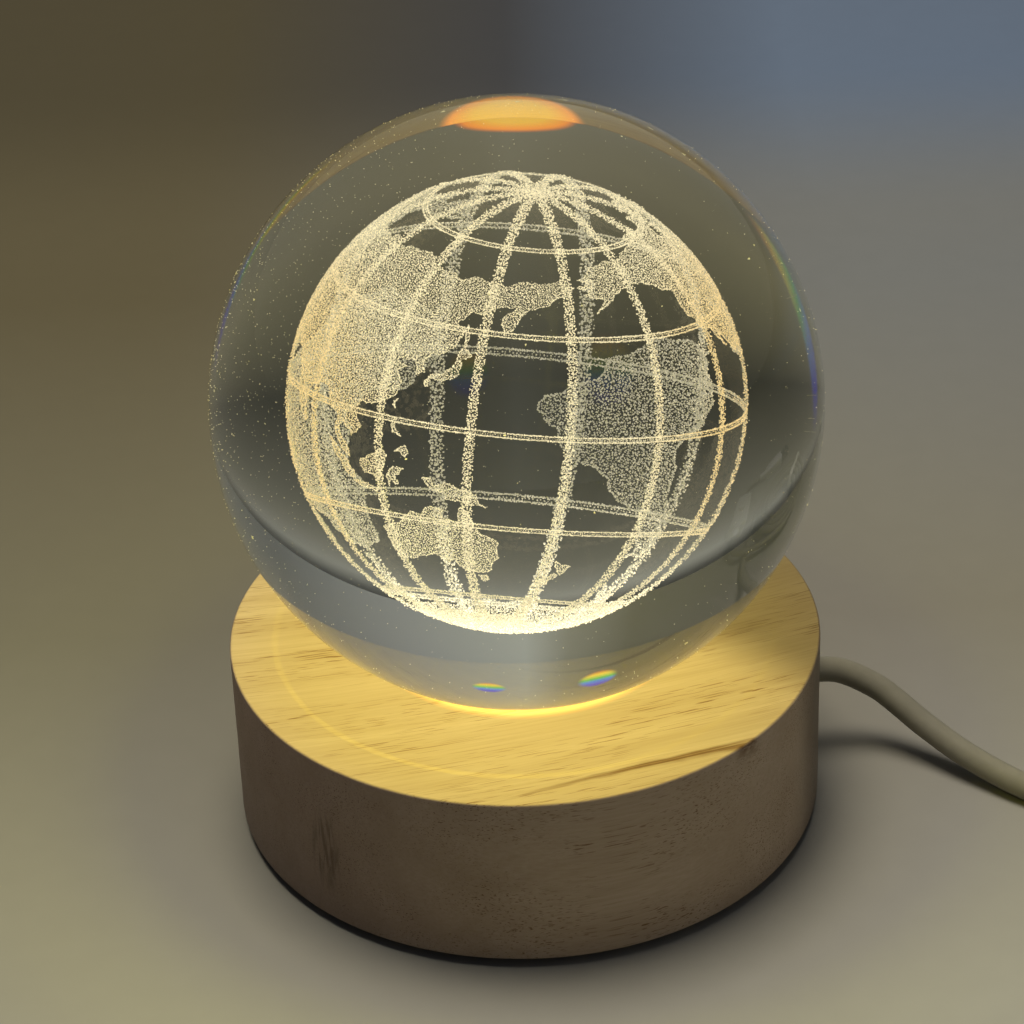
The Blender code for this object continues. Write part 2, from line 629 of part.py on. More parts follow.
def pad_and_cover(rubber, fibre, steel):
    """The soft pad that the lamp stands on, and the cover screwed into the rebate."""
    turned("base_pad", disc_profile(BASE_RADIUS - PAD_INSET, 0, PAD_THICKNESS, PAD_EDGE),
           COVER_SEGMENTS, rubber)
    profile = disc_profile(REBATE_RADIUS - FIT_GAP, BASE_BOTTOM,
                           BASE_BOTTOM + COVER_THICKNESS, COVER_EDGE)
    cover = turned("bottom_cover", profile, COVER_SEGMENTS, fibre)
    hole = sunk_hole_profile(COVER_SCREW_SHANK, COVER_SCREW_HEAD, COVER_SCREW_HEAD_HEIGHT,
                             COVER_THICKNESS + CUT_OVERRUN)
    places = on_circle(COVER_SCREW_COUNT, COVER_SCREW_CIRCLE, BASE_BOTTOM,
                       screw_angle(COVER_SCREW_COUNT))
    for k, place in enumerate(places):
        cutter = turned_mesh(f"screw_hole_{k + 1}", hole, SCREW_SEGMENTS, False)
        cutter.transform(Matrix.Translation(place))
        boolean(cover, cutter, "DIFFERENCE")
        screw = sunk_screw_mesh("cover_screw", COVER_SCREW_SHANK, COVER_SCREW_LENGTH,
                                COVER_SCREW_HEAD, COVER_SCREW_HEAD_HEIGHT)
        add_object(f"cover_screw_{k + 1}", screw, steel, place)


def light_window(clear):
    """The clear disc that closes the light well, clamped between holder and wood."""
    profile = disc_profile(WINDOW_RADIUS, WINDOW_SEAT + FIT_GAP,
                           WINDOW_SEAT + FIT_GAP + WINDOW_THICKNESS, WINDOW_EDGE)
    return turned("light_window", profile, HOLDER_SEGMENTS, clear)


def led_holder(plastic, steel):
    """The white ring that carries window and board, and its three screws."""
    rebate = WINDOW_RADIUS + FIT_GAP
    profile = [
        (rebate, HOLDER_TOP), (HOLDER_RADIUS, HOLDER_TOP),
        (HOLDER_RADIUS, FLANGE_UNDERSIDE), (SKIRT_OUTER_RADIUS, FLANGE_UNDERSIDE),
        (SKIRT_OUTER_RADIUS, SKIRT_BOTTOM), (SKIRT_INNER_RADIUS, SKIRT_BOTTOM),
        (SKIRT_INNER_RADIUS, BOARD_SEAT), (PASSAGE_RADIUS, BOARD_SEAT),
        (PASSAGE_RADIUS, WINDOW_SEAT), (rebate, WINDOW_SEAT),
    ]
    holder = turned("led_holder", profile, HOLDER_SEGMENTS, plastic, closed=True)
    places = on_circle(HOLDER_SCREW_COUNT, HOLDER_SCREW_CIRCLE, HOLDER_SCREW_SEAT,
                       screw_angle(HOLDER_SCREW_COUNT))
    above = Vector((0, 0, HOLDER_TOP - HOLDER_SCREW_SEAT + CUT_OVERRUN))
    below = Vector((0, 0, CUT_OVERRUN))
    for k, place in enumerate(places):
        hole = rod_mesh(f"screw_hole_{k + 1}", place - below, place + above,
                        HOLDER_SCREW_SHANK + FIT_GAP)
        boolean(holder, hole, "DIFFERENCE")
        screw = screw_mesh("holder_screw", HOLDER_SCREW_SHANK, HOLDER_SCREW_LENGTH,
                           HOLDER_SCREW_HEAD, HOLDER_SCREW_HEAD_HEIGHT)
        add_object(f"holder_screw_{k + 1}", screw, steel, place)
    for k, place in enumerate(board_screw_places()):
        tip = Vector((0, 0, BOARD_SCREW_LENGTH + FIT_GAP))
        pilot = rod_mesh(f"board_pilot_{k + 1}", place, place + tip,
                         BOARD_SCREW_SHANK + FIT_GAP)
        boolean(holder, pilot, "DIFFERENCE")
    return holder


def board_screw_places():
    """Where the undersides of the board screws' heads are, either side of the leads."""
    return on_circle(BOARD_SCREW_COUNT, BOARD_SCREW_CIRCLE, BOARD_BOTTOM - FIT_GAP,
                     EXIT_ANGLE + math.pi / 2)


def led_board(laminate, steel):
    """The round circuit board and the two screws that hold it up in the holder."""
    profile = [(0, BOARD_BOTTOM), (BOARD_RADIUS, BOARD_BOTTOM), (BOARD_RADIUS, BOARD_TOP),
               (0, BOARD_TOP)]
    board = turned("led_board", profile, HOLDER_SEGMENTS, laminate)
    through = Vector((0, 0, BOARD_THICKNESS + FIT_GAP + CUT_OVERRUN))
    below = Vector((0, 0, CUT_OVERRUN))
    for k, place in enumerate(board_screw_places()):
        hole = rod_mesh(f"screw_hole_{k + 1}", place - below, place + through,
                        BOARD_SCREW_SHANK + FIT_GAP)
        boolean(board, hole, "DIFFERENCE")
        screw = screw_mesh("board_screw", BOARD_SCREW_SHANK, BOARD_SCREW_LENGTH,
                           BOARD_SCREW_HEAD, BOARD_SCREW_HEAD_HEIGHT)
        add_object(f"board_screw_{k + 1}", screw, steel, place)
    return board


def leds(phosphor):
    """Square surface-mounted LEDs in a ring, each with a shallow round lens pocket."""
    foot = BOARD_TOP + FIT_GAP
    for k, place in enumerate(on_circle(LED_COUNT, LED_RING_RADIUS, foot, math.pi / LED_COUNT)):
        name = f"led_{k + 1}"
        body = block_mesh(name, (LED_SIZE, LED_SIZE, LED_HEIGHT),
                          (0, 0, LED_HEIGHT / 2), LED_EDGE)
        led = add_object(name, body, phosphor, place)
        lens = rod_mesh("lens_pocket", (0, 0, LED_HEIGHT - LED_LENS_DEPTH),
                        (0, 0, LED_HEIGHT + CUT_OVERRUN), LED_LENS_RADIUS)
        boolean(led, lens, "DIFFERENCE")


def resistors(ceramic):
    """Two chip resistors on the board's underside."""
    height = BOARD_BOTTOM - FIT_GAP - RESISTOR_HEIGHT / 2
    for k, side in enumerate((-1, 1)):
        name = f"resistor_{k + 1}"
        size = (RESISTOR_WIDTH, RESISTOR_LENGTH, RESISTOR_HEIGHT)
        place = (-RESISTOR_OFF_CENTRE, side * RESISTOR_SPREAD, height)
        add_object(name, block_mesh(name, size, (0, 0, 0)), ceramic, place)


def along_exit(radius, across, height):
    """A point at a radius along the cord's way out, a step to one side, and a height."""
    side = Vector((-EXIT_DIRECTION.y, EXIT_DIRECTION.x, 0))
    return EXIT_DIRECTION * radius + side * across + Vector((0, 0, height))


def cord_tie(nylon):
    """The nylon tie round the cord just inside the pocket's wall."""
    inner = TIE_OUTER_RADIUS - TIE_THICKNESS
    half = TIE_WIDTH / 2
    section = [(inner, -half), (TIE_OUTER_RADIUS, -half), (TIE_OUTER_RADIUS, half),
               (inner, half)]
    ring = turned_mesh("cord_tie", section, TIE_SEGMENTS, True)
    to_axis = Vector((0, 0, 1)).rotation_difference(EXIT_DIRECTION).to_matrix().to_4x4()
    centre = along_exit(POCKET_RADIUS - FIT_GAP - half, 0, EXIT_HEIGHT)
    ring.transform(Matrix.Translation(centre) @ to_axis)
    tie = add_object("cord_tie", ring, nylon)
    head = block_mesh("tie_head", (TIE_WIDTH, TIE_HEAD, TIE_HEAD),
                      (0, 0, -(inner + TIE_OUTER_RADIUS + TIE_HEAD) / 2), TIE_EDGE)
    head.transform(Matrix.Translation(centre) @ Matrix.Rotation(EXIT_ANGLE, 4, "Z"))
    boolean(tie, head, "UNION")
    return tie


def inner_leads(red, black):
    """Two leads from the end of the cord's jacket, under the skirt, up to the board."""
    start = POCKET_RADIUS - JACKET_INSIDE - FIT_GAP
    clear = LEAD_RADIUS + FIT_GAP
    outside = SKIRT_OUTER_RADIUS + clear
    under = SKIRT_BOTTOM - 2 * clear
    low = under - clear / 2
    landing = BOARD_BOTTOM - FIT_GAP
    for name, side, finish in (("lead_red", 1, red), ("lead_black", -1, black)):
        across = side * LEAD_SPREAD
        route = [
            along_exit(start, across, EXIT_HEIGHT),
            along_exit((start + outside) / 2, across, EXIT_HEIGHT - LEAD_RADIUS),
            along_exit(outside, across, SKIRT_BOTTOM - clear),
            along_exit(SKIRT_OUTER_RADIUS - clear, across, under),
            along_exit(SKIRT_INNER_RADIUS - clear, across, low),
            along_exit((SKIRT_INNER_RADIUS + LEAD_LANDING_RADIUS) / 2, across, low),
            along_exit(LEAD_LANDING_RADIUS, across, landing - clear - LEAD_RADIUS),
            along_exit(LEAD_LANDING_RADIUS, across, landing),
        ]
        tube(name, route, LEAD_RADIUS, finish, 0)


def climb_share(turns_from_reversal):
    """0 before the half turn round the reversal, 1 after it, smooth between."""
    share = turns_from_reversal / COIL_CLIMB_TURNS + 0.5
    share = min(1.0, max(0.0, share))
    return share * share * (3.0 - 2.0 * share)


def coil_point(turns):
    """A point of the coil's axis: inwards on the lower layer, outwards on the upper."""
    reversal = COIL_TURNS / COIL_LAYERS
    radius = COIL_INNER_RADIUS + COIL_PITCH * abs(turns - reversal)
    angle = COIL_START_ANGLE + 2 * math.pi * turns
    height = COIL_BOTTOM_LAYER + COIL_PITCH * climb_share(turns - reversal)
    return COIL_CENTRE + Vector((radius * math.cos(angle), radius * math.sin(angle), height))


def coil_heading(turns):
    angle = COIL_START_ANGLE + 2 * math.pi * turns + math.pi / 2
    return Vector((math.cos(angle), math.sin(angle), 0))


def coil_ends():
    """Both end points of the coiled tube and the cord's heading there."""
    first, last = coil_heading(0), coil_heading(COIL_TURNS)
    start = coil_point(0) - first * CORD_DIAMETER
    end = coil_point(COIL_TURNS) + last * CORD_DIAMETER
    return start, first, end, last


def least_gap(points, radius):
    """The least gap of a tube to itself, from the runs between its points."""
    least = math.inf
    near = TURN_SEGMENTS // 3
    for i in range(len(points) - 1):
        middle = (points[i] + points[i + 1]) / 2
        for j in range(i + near, len(points) - 1):
            a, b = points[j], points[j + 1]
            run = b - a
            share = max(0.0, min(1.0, (middle - a).dot(run) / run.length_squared))
            least = min(least, (a + run * share - middle).length)
    return least - 2 * radius


def cord_coil(jacket):
    """The put-away cord: two layers of turns in one unbroken tube."""
    start, _, end, _ = coil_ends()
    count = round(COIL_TURNS * TURN_SEGMENTS)
    turns = [coil_point(COIL_TURNS * k / count) for k in range(count + 1)]
    points = [start] + turns + [end]
    gap = least_gap(points, CORD_RADIUS)
    print("cord_coil length", round(path_length(points) / MM, 1), "mm, least gap to itself",
          round(gap / MM, 3), "mm, wanted over", round(LEAST_COIL_GAP / MM, 3))
    return tube("cord_coil", points, CORD_RADIUS, jacket, 1)


def rounded_rectangle(half_width, half_height, corner, steps):
    """Outline with round corners, anticlockwise."""
    points = []
    for quarter, (sx, sy) in enumerate(((1, 1), (-1, 1), (-1, -1), (1, -1))):
        for k in range(steps + 1):
            angle = (quarter + k / steps) * math.pi / 2
            points.append((sx * (half_width - corner) + corner * math.cos(angle),
                           sy * (half_height - corner) + corner * math.sin(angle)))
    return points


def coil_tie(webbing):
    """The band round the coil's bundle, square to the turns."""
    low = COIL_BOTTOM_LAYER - CORD_RADIUS - BAND_GAP
    high = COIL_TOP_LAYER + CORD_RADIUS + BAND_GAP
    near = COIL_INNER_RADIUS - CORD_RADIUS - BAND_GAP
    far = COIL_OUTER_RADIUS + CORD_RADIUS + BAND_GAP
    half_width, half_height = (far - near) / 2, (high - low) / 2
    rings = []
    for side in (-1, 1):
        for wall in (0.0, BAND_THICKNESS):
            outline = rounded_rectangle(half_width + wall, half_height + wall,
                                        BAND_CORNER + wall, BAND_CORNER_STEPS)
            rings.append([(x, side * BAND_WIDTH / 2, z) for x, z in outline])
    rings = [rings[0], rings[1], rings[3], rings[2]]
    band = rings_mesh("coil_tie", rings, loop=True)
    out = Vector((math.cos(BAND_ANGLE), math.sin(BAND_ANGLE), 0))
    centre = COIL_CENTRE + out * (near + far) / 2 + Vector((0, 0, (low + high) / 2))
    return add_object("coil_tie", band, webbing, centre, BAND_ANGLE)


def switch_outline(inset, height):
    """The switch's round-cornered outline, drawn in by an inset, at a height."""
    outline = rounded_rectangle(SWITCH_LENGTH / 2 - inset, SWITCH_WIDTH / 2 - inset,
                                SWITCH_CORNER - inset, SWITCH_CORNER_STEPS)
    return [(x, y, height) for x, y in outline]


def switch_posts():
    """The two screw posts of the switch, on a diagonal."""
    return [(POST_ALONG, -POST_ACROSS), (-POST_ALONG, POST_ACROSS)]


def bush_bores(shell):
    """Round openings at both ends of a shell, and the wider grooves for the collars."""
    wall_inside = SWITCH_LENGTH / 2 - SWITCH_WALL
    for name, side in (("cord_side", -1), ("plug_side", 1)):
        inner = (side * (wall_inside - CUT_OVERRUN), 0, SWITCH_CORD_Z)
        outer = (side * (SWITCH_LENGTH / 2 + CUT_OVERRUN), 0, SWITCH_CORD_Z)
        bore = rod_mesh(name, inner, outer, BUSH_ROOT_RADIUS + FIT_GAP, BUSH_SEGMENTS)
        boolean(shell, bore, "DIFFERENCE")


def switch_lower_shell(plastic):
    """The lower half: a shallow tray with two screw posts."""
    top = SWITCH_PARTING - FIT_GAP
    rings = [switch_outline(SWITCH_FOOT, 0), switch_outline(0, SWITCH_FOOT), switch_outline(0, top),
             switch_outline(SWITCH_WALL, top), switch_outline(SWITCH_WALL, SWITCH_WALL)]
    shell = add_object("switch_lower_shell", rings_mesh("switch_lower_shell", rings),
                       plastic, SWITCH_CENTRE)
    hole = sunk_hole_profile(SWITCH_SCREW_SHANK, SWITCH_SCREW_HEAD,
                             SWITCH_SCREW_HEAD_HEIGHT, top + CUT_OVERRUN)
    for k, (x, y) in enumerate(switch_posts()):
        post = rod_mesh(f"post_{k + 1}", (x, y, SWITCH_WALL / 2), (x, y, top), POST_RADIUS)
        boolean(shell, post, "UNION")
    for k, (x, y) in enumerate(switch_posts()):
        cutter = turned_mesh(f"screw_hole_{k + 1}", hole, SCREW_SEGMENTS, False)
        cutter.transform(Matrix.Translation((x, y, 0)))
        boolean(shell, cutter, "DIFFERENCE")
    bush_bores(shell)
    return shell


def switch_upper_shell(plastic):
    """The upper half: a crowned lid with the button's hole and two posts."""
    roof = SWITCH_HEIGHT - SWITCH_WALL
    shoulder = SWITCH_HEIGHT - SWITCH_CROWN
    rings = [switch_outline(SWITCH_WALL, roof), switch_outline(SWITCH_WALL, SWITCH_PARTING),
             switch_outline(0, SWITCH_PARTING), switch_outline(0, shoulder),
             switch_outline(SWITCH_CROWN / 3, SWITCH_HEIGHT - SWITCH_CROWN / 3),
             switch_outline(SWITCH_CROWN, SWITCH_HEIGHT)]
    shell = add_object("switch_upper_shell", rings_mesh("switch_upper_shell", rings),
                       plastic, SWITCH_CENTRE)
    tip = SWITCH_SCREW_LENGTH + PILOT_SPARE
    for k, (x, y) in enumerate(switch_posts()):
        post = rod_mesh(f"post_{k + 1}", (x, y, SWITCH_PARTING), (x, y, roof + SWITCH_WALL / 2),
                        POST_RADIUS)
        boolean(shell, post, "UNION")
    for k, (x, y) in enumerate(switch_posts()):
        pilot = rod_mesh(f"pilot_{k + 1}", (x, y, SWITCH_PARTING - CUT_OVERRUN), (x, y, tip),
                         SWITCH_SCREW_SHANK + FIT_GAP)
        boolean(shell, pilot, "DIFFERENCE")
    hole = rod_mesh("button_hole", (0, 0, roof - CUT_OVERRUN),
                    (0, 0, SWITCH_HEIGHT + CUT_OVERRUN), BUTTON_RADIUS + FIT_GAP,
                    BUTTON_SEGMENTS)
    boolean(shell, hole, "DIFFERENCE")
    bush_bores(shell)
    return shell


def switch_button(plastic):
    """The round button, with a rim under the lid and a stem above the contact."""
    roof = SWITCH_HEIGHT - SWITCH_WALL
    top = SWITCH_HEIGHT + BUTTON_STANDS_OUT
    rim_top = roof - FIT_GAP
    rim = BUTTON_RADIUS + BUTTON_FLANGE
    stem_foot = contact_arm_top() + BUTTON_TRAVEL + FIT_GAP
    profile = [
        (0, stem_foot), (BUTTON_STEM_RADIUS, stem_foot),
        (BUTTON_STEM_RADIUS, rim_top - BUTTON_FLANGE), (rim, rim_top - BUTTON_FLANGE),
        (rim, rim_top), (BUTTON_RADIUS, rim_top), (BUTTON_RADIUS, top - BUTTON_EDGE),
        (BUTTON_RADIUS - BUTTON_EDGE, top), (BUTTON_RADIUS / 2, top - BUTTON_DISH),
        (0, top - BUTTON_DISH),
    ]
    return turned("switch_button", profile, BUTTON_SEGMENTS, plastic, location=SWITCH_CENTRE)


def contact_arm_top():
    """Height of the sprung contact's upper face."""
    return SWITCH_WALL + FIT_GAP + CONTACT_THICKNESS + CONTACT_RISE


def contact_strip(name, path, finish):
    """A bent brass strip: a profile of (x, z) points with a width and a thickness."""
    shape = bmesh.new()
    rows = [[shape.verts.new((x, side * CONTACT_WIDTH / 2, z)) for side in (-1, 1)]
            for x, z in path]
    for (a, b), (c, d) in zip(rows, rows[1:]):
        shape.faces.new((a, b, d, c))
    strip = add_object(name, mesh_from(name, shape), finish, SWITCH_CENTRE)
    wall = strip.modifiers.new("thickness", "SOLIDIFY")
    wall.thickness = CONTACT_THICKNESS
    wall.offset = 0
    wall.use_even_offset = True
    return strip


def switch_contacts(brass):
    """The sprung contact under the button and the fixed one below its tip."""
    floor = SWITCH_WALL + FIT_GAP + CONTACT_THICKNESS / 2
    arm = floor + CONTACT_RISE
    heel = CONTACT_LENGTH / 2 + CONTACT_BEND
    contact_strip("switch_contact_spring", [
        (-heel - CONTACT_BEND, floor), (-heel, floor), (-heel + CONTACT_BEND / 2, arm),
        (BUTTON_STEM_RADIUS, arm)], brass)
    contact_strip("switch_contact_fixed", [
        (-BUTTON_STEM_RADIUS, floor), (heel, floor), (heel + CONTACT_BEND, floor)], brass)


def switch_screws(steel):
    for k, (x, y) in enumerate(switch_posts()):
        screw = sunk_screw_mesh("switch_screw", SWITCH_SCREW_SHANK, SWITCH_SCREW_LENGTH,
                                SWITCH_SCREW_HEAD, SWITCH_SCREW_HEAD_HEIGHT)
        place = SWITCH_CENTRE + Vector((x, y, FIT_GAP))
        add_object(f"switch_screw_{k + 1}", screw, steel, place)


def bush_span():
    """Distances of a bush's inner and outer ends from the switch's centre."""
    inner = SWITCH_LENGTH / 2 - BUSH_INSIDE
    return inner, inner + BUSH_LENGTH


def switch_bushes(rubber):
    """Tapered sleeves that keep the cord from kinking where it enters the switch."""
    bore = CORD_RADIUS + FIT_GAP
    collar = BUSH_INSIDE - SWITCH_WALL - FIT_GAP
    wide = BUSH_ROOT_RADIUS + BUSH_COLLAR
    profile = [(bore, 0), (wide, 0), (wide, collar), (BUSH_ROOT_RADIUS, collar),
               (BUSH_ROOT_RADIUS, BUSH_INSIDE), (BUSH_TIP_RADIUS, BUSH_LENGTH),
               (bore, BUSH_LENGTH)]
    for name, side in (("switch_bush_in", -1), ("switch_bush_out", 1)):
        sleeve = turned_mesh(name, profile, BUSH_SEGMENTS, True)
        inner, _ = bush_span()
        place = SWITCH_CENTRE + Vector((side * inner, 0, SWITCH_CORD_Z))
        turn = Matrix.Rotation(side * math.pi / 2, 4, "Y")
        sleeve.transform(Matrix.Translation(place) @ turn)
        add_object(name, sleeve, rubber)


def switch_leads(red, black):
    """The red lead, broken at the contacts, and the black lead that runs past them."""
    inner, _ = bush_span()
    end = inner - FIT_GAP
    solder = SWITCH_WALL + 2 * FIT_GAP + CONTACT_THICKNESS + LEAD_RADIUS
    heel = CONTACT_LENGTH / 2 + 2 * CONTACT_BEND
    beside = CONTACT_WIDTH / 2 + FIT_GAP + LEAD_RADIUS
    past = contact_arm_top() + LEAD_RADIUS
    straight = POST_ALONG / 2
    routes = (
        ("switch_lead_live_in", red, [(-end, LEAD_SPREAD, SWITCH_CORD_Z),
                                      (-heel, LEAD_SPREAD, solder)]),
        ("switch_lead_live_out", red, [(heel, LEAD_SPREAD, solder),
                                       (end, LEAD_SPREAD, SWITCH_CORD_Z)]),
        ("switch_lead_return", black, [(-end, -LEAD_SPREAD, SWITCH_CORD_Z),
                                       (-straight, -beside, past),
                                       (straight, -beside, past),
                                       (end, -LEAD_SPREAD, SWITCH_CORD_Z)]),
    )
    for name, finish, route in routes:
        tube(name, [SWITCH_CENTRE + Vector(p) for p in route], LEAD_RADIUS, finish, 0)


def plug_place(mesh):
    """Turn a plug piece, modelled along +X from the cord's end, to lie along +Y."""
    place = PLUG_CORD_END + Vector((0, 0, PLUG_CORD_Z))
    mesh.transform(Matrix.Translation(place) @ Matrix.Rotation(math.pi / 2, 4, "Z"))
    return mesh


def plug_grip(plastic):
    """The moulded grip with its ribbed strain relief."""
    start, end = RELIEF_LENGTH, RELIEF_LENGTH + GRIP_LENGTH
    rings = []
    for x, waist, edge in ((start, GRIP_WAIST, GRIP_EDGE), (start + GRIP_EDGE, GRIP_WAIST, 0),
                           ((start + end) / 2, 0, 0), (end - GRIP_EDGE / 2, 0, 0),
                           (end, 0, GRIP_EDGE / 2)):
        outline = rounded_rectangle(GRIP_WIDTH / 2 - waist - edge,
                                    GRIP_HEIGHT / 2 - edge,
                                    GRIP_EDGE, GRIP_EDGE_STEPS)
        rings.append([(x, y, z) for y, z in outline])
    body = plug_place(rings_mesh("plug_grip", rings))
    grip = add_object("plug_grip", body, plastic)
    bore = CORD_RADIUS + FIT_GAP
    rib = RELIEF_LENGTH / (2 * RELIEF_RIBS)
    profile = [(0, start + GRIP_EDGE)]
    for k in range(RELIEF_RIBS):
        low = RELIEF_LENGTH - 2 * rib * k
        share = k / RELIEF_RIBS
        radius = RELIEF_ROOT_RADIUS + (RELIEF_TIP_RADIUS - RELIEF_ROOT_RADIUS) * share
        top = start + GRIP_EDGE if k == 0 else low
        profile += [(radius - RELIEF_GROOVE, top), (radius - RELIEF_GROOVE, low - rib),
                    (radius, low - rib), (radius, low - 2 * rib)]
    profile += [(0, 0)]
    relief = turned_mesh("relief", profile, BUSH_SEGMENTS, False)
    relief.transform(Matrix.Rotation(math.pi / 2, 4, "Y"))
    boolean(grip, plug_place(relief), "UNION")
    cord = rod_mesh("cord_bore", (-CUT_OVERRUN, 0, 0), (RELIEF_LENGTH, 0, 0), bore)
    boolean(grip, plug_place(cord), "DIFFERENCE")
    pocket = block_mesh("shell_pocket",
                        (PLUG_SHELL_IN + FIT_GAP + CUT_OVERRUN,
                         PLUG_SHELL_WIDTH + 2 * FIT_GAP, PLUG_SHELL_HEIGHT + 2 * FIT_GAP),
                        (end - (PLUG_SHELL_IN + FIT_GAP - CUT_OVERRUN) / 2, 0, 0))
    boolean(grip, plug_place(pocket), "DIFFERENCE")
    return grip


def plug_shell(steel):
    """The open metal shell with its four square windows."""
    low = RELIEF_LENGTH + GRIP_LENGTH - PLUG_SHELL_IN
    mouth = RELIEF_LENGTH + GRIP_LENGTH + PLUG_SHELL_OUT
    rings = []
    for x, wall in ((low, 0.0), (mouth, 0.0), (mouth, PLUG_SHELL_WALL),
                    (low + PLUG_SHELL_WALL, PLUG_SHELL_WALL)):
        outline = rounded_rectangle(PLUG_SHELL_WIDTH / 2 - wall, PLUG_SHELL_HEIGHT / 2 - wall,
                                    PLUG_SHELL_CORNER - wall / 2, GRIP_EDGE_STEPS)
        rings.append([(x, y, z) for y, z in outline])
    shell = add_object("plug_shell", plug_place(rings_mesh("plug_shell", rings)), steel)
    for k, side in enumerate((-1, 1)):
        window = block_mesh(f"window_{k + 1}",
                            (PLUG_WINDOW_LENGTH, PLUG_WINDOW_WIDTH,
                             PLUG_SHELL_HEIGHT + CUT_OVERRUN),
                            (mouth - PLUG_WINDOW_FROM_MOUTH, side * PLUG_WINDOW_SPREAD, 0))
        boolean(shell, plug_place(window), "DIFFERENCE")
    return shell


def plug_tongue(plastic, gold):
    """The insulating tongue in the shell's lower half, and the four contacts on it."""
    low = RELIEF_LENGTH + GRIP_LENGTH - PLUG_SHELL_IN + PLUG_SHELL_WALL + FIT_GAP
    end = RELIEF_LENGTH + GRIP_LENGTH + PLUG_SHELL_OUT - TONGUE_RECESS
    width = PLUG_SHELL_WIDTH - 2 * (PLUG_SHELL_WALL + FIT_GAP)
    floor = -PLUG_SHELL_HEIGHT / 2 + PLUG_SHELL_WALL + FIT_GAP
    tongue = block_mesh("plug_tongue", (end - low, width, TONGUE_HEIGHT),
                        ((low + end) / 2, 0, floor + TONGUE_HEIGHT / 2))
    add_object("plug_tongue", plug_place(tongue), plastic)
    height = floor + TONGUE_HEIGHT + FIT_GAP + PLUG_CONTACT_HEIGHT / 2
    for k, across_share in enumerate(PLUG_CONTACT_SHARES):
        outer = k in (0, len(PLUG_CONTACT_SHARES) - 1)
        length = PLUG_CONTACT_LENGTH - (0 if outer else PLUG_CONTACT_SHORTER)
        centre = end - TONGUE_RECESS - PLUG_CONTACT_LENGTH + length / 2
        name = f"plug_contact_{k + 1}"
        strip = block_mesh(name, (length, PLUG_CONTACT_WIDTH, PLUG_CONTACT_HEIGHT),
                           (centre, width * across_share, height))
        add_object(name, plug_place(strip), gold)


def cord_stretches(jacket):
    """The free stretches: lamp to coil, coil to switch, and switch to plug."""
    coil_start, coil_in, coil_end, coil_out = coil_ends()
    start = along_exit(POCKET_RADIUS - JACKET_INSIDE, 0, EXIT_HEIGHT)
    end = coil_start - coil_in * FIT_GAP
    cord_tube("cord_lamp", start, EXIT_POINT, [EXIT_POINT + Vector(p) for p in LAMP_ROUTE],
              end - coil_in * CORD_DIAMETER, end, jacket)
    level = SWITCH_CENTRE + Vector((0, 0, SWITCH_CORD_Z))
    inside, outside = [Vector((reach, 0, 0)) for reach in bush_span()]
    start = coil_end + coil_out * FIT_GAP
    cord_tube("cord_switch", start, start + coil_out * CORD_DIAMETER,
              [start + Vector(p) for p in SWITCH_ROUTE], level - outside, level - inside,
              jacket)
    plug_mouth = PLUG_CORD_END + Vector((0, 0, PLUG_CORD_Z))
    plug_end = plug_mouth + Vector((0, RELIEF_LENGTH - FIT_GAP, 0))
    cord_tube("cord_plug", level + inside, level + outside,
              [level + outside + Vector(p) for p in PLUG_ROUTE], plug_mouth, plug_end,
              jacket)


def build():
    clear_scene()
    glass = material("optical_glass", (0.96, 0.98, 0.97), 0.02, transmission=1.0)
    cracked = material("cracked_glass", (0.90, 0.86, 0.74), 0.9)
    wood = material("pale_wood", (0.72, 0.55, 0.30), 0.55)
    clear = material("clear_acrylic", (0.95, 0.96, 0.95), 0.08, transmission=0.9)
    white = material("white_plastic", (0.86, 0.86, 0.84), 0.4)
    laminate = material("white_laminate", (0.88, 0.89, 0.86), 0.35)
    phosphor = material("led_package", (0.93, 0.84, 0.45), 0.3)
    ceramic = material("black_ceramic", (0.03, 0.03, 0.03), 0.5)
    steel = material("zinc_plated_steel", (0.62, 0.62, 0.60), 0.3, metallic=1.0)
    brass = material("brass_strip", (0.80, 0.62, 0.28), 0.25, metallic=1.0)
    fibre = material("black_fibreboard", (0.05, 0.05, 0.05), 0.8)
    rubber = material("black_foam", (0.03, 0.03, 0.03), 0.9)
    jacket = material("cord_jacket", (0.78, 0.78, 0.77), 0.45)
    red = material("red_insulation", (0.55, 0.03, 0.02), 0.4)
    black = material("black_insulation", (0.02, 0.02, 0.02), 0.4)
    nylon = material("white_nylon", (0.85, 0.85, 0.82), 0.4)

    crystal_ball(glass)
    engraved_globe(cracked)
    wooden_base(wood)
    pad_and_cover(rubber, fibre, steel)
    light_window(clear)
    led_holder(white, steel)
    led_board(laminate, steel)
    leds(phosphor)
    resistors(ceramic)
    cord_tie(nylon)
    inner_leads(red, black)
    cord_coil(jacket)
    coil_tie(nylon)
    cord_stretches(jacket)
    switch_lower_shell(white)
    switch_upper_shell(white)
    switch_button(white)
    switch_contacts(brass)
    switch_screws(steel)
    switch_bushes(white)
    switch_leads(red, black)
    plug_grip(white)
    plug_shell(steel)
    plug_tongue(laminate, brass)


build()
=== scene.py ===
# %% [markdown]
# # Crystal ball lamp
#
# A solid ball of clear glass lies in a round wooden base. A laser has drawn a globe
# inside the glass, as thousands of tiny cracks that catch the light of four LEDs under
# the ball. A thin cord leads to a push switch and a flat plug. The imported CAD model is
# the fixed frame of this scene: it says where every part is, and this script gives the
# parts their finish and replaces those that need finer shapes than the CAD has.

# %% Load the frame
import math
import re

import bmesh
import bpy
import numpy as np
from mathutils import Matrix, Quaternion, Vector


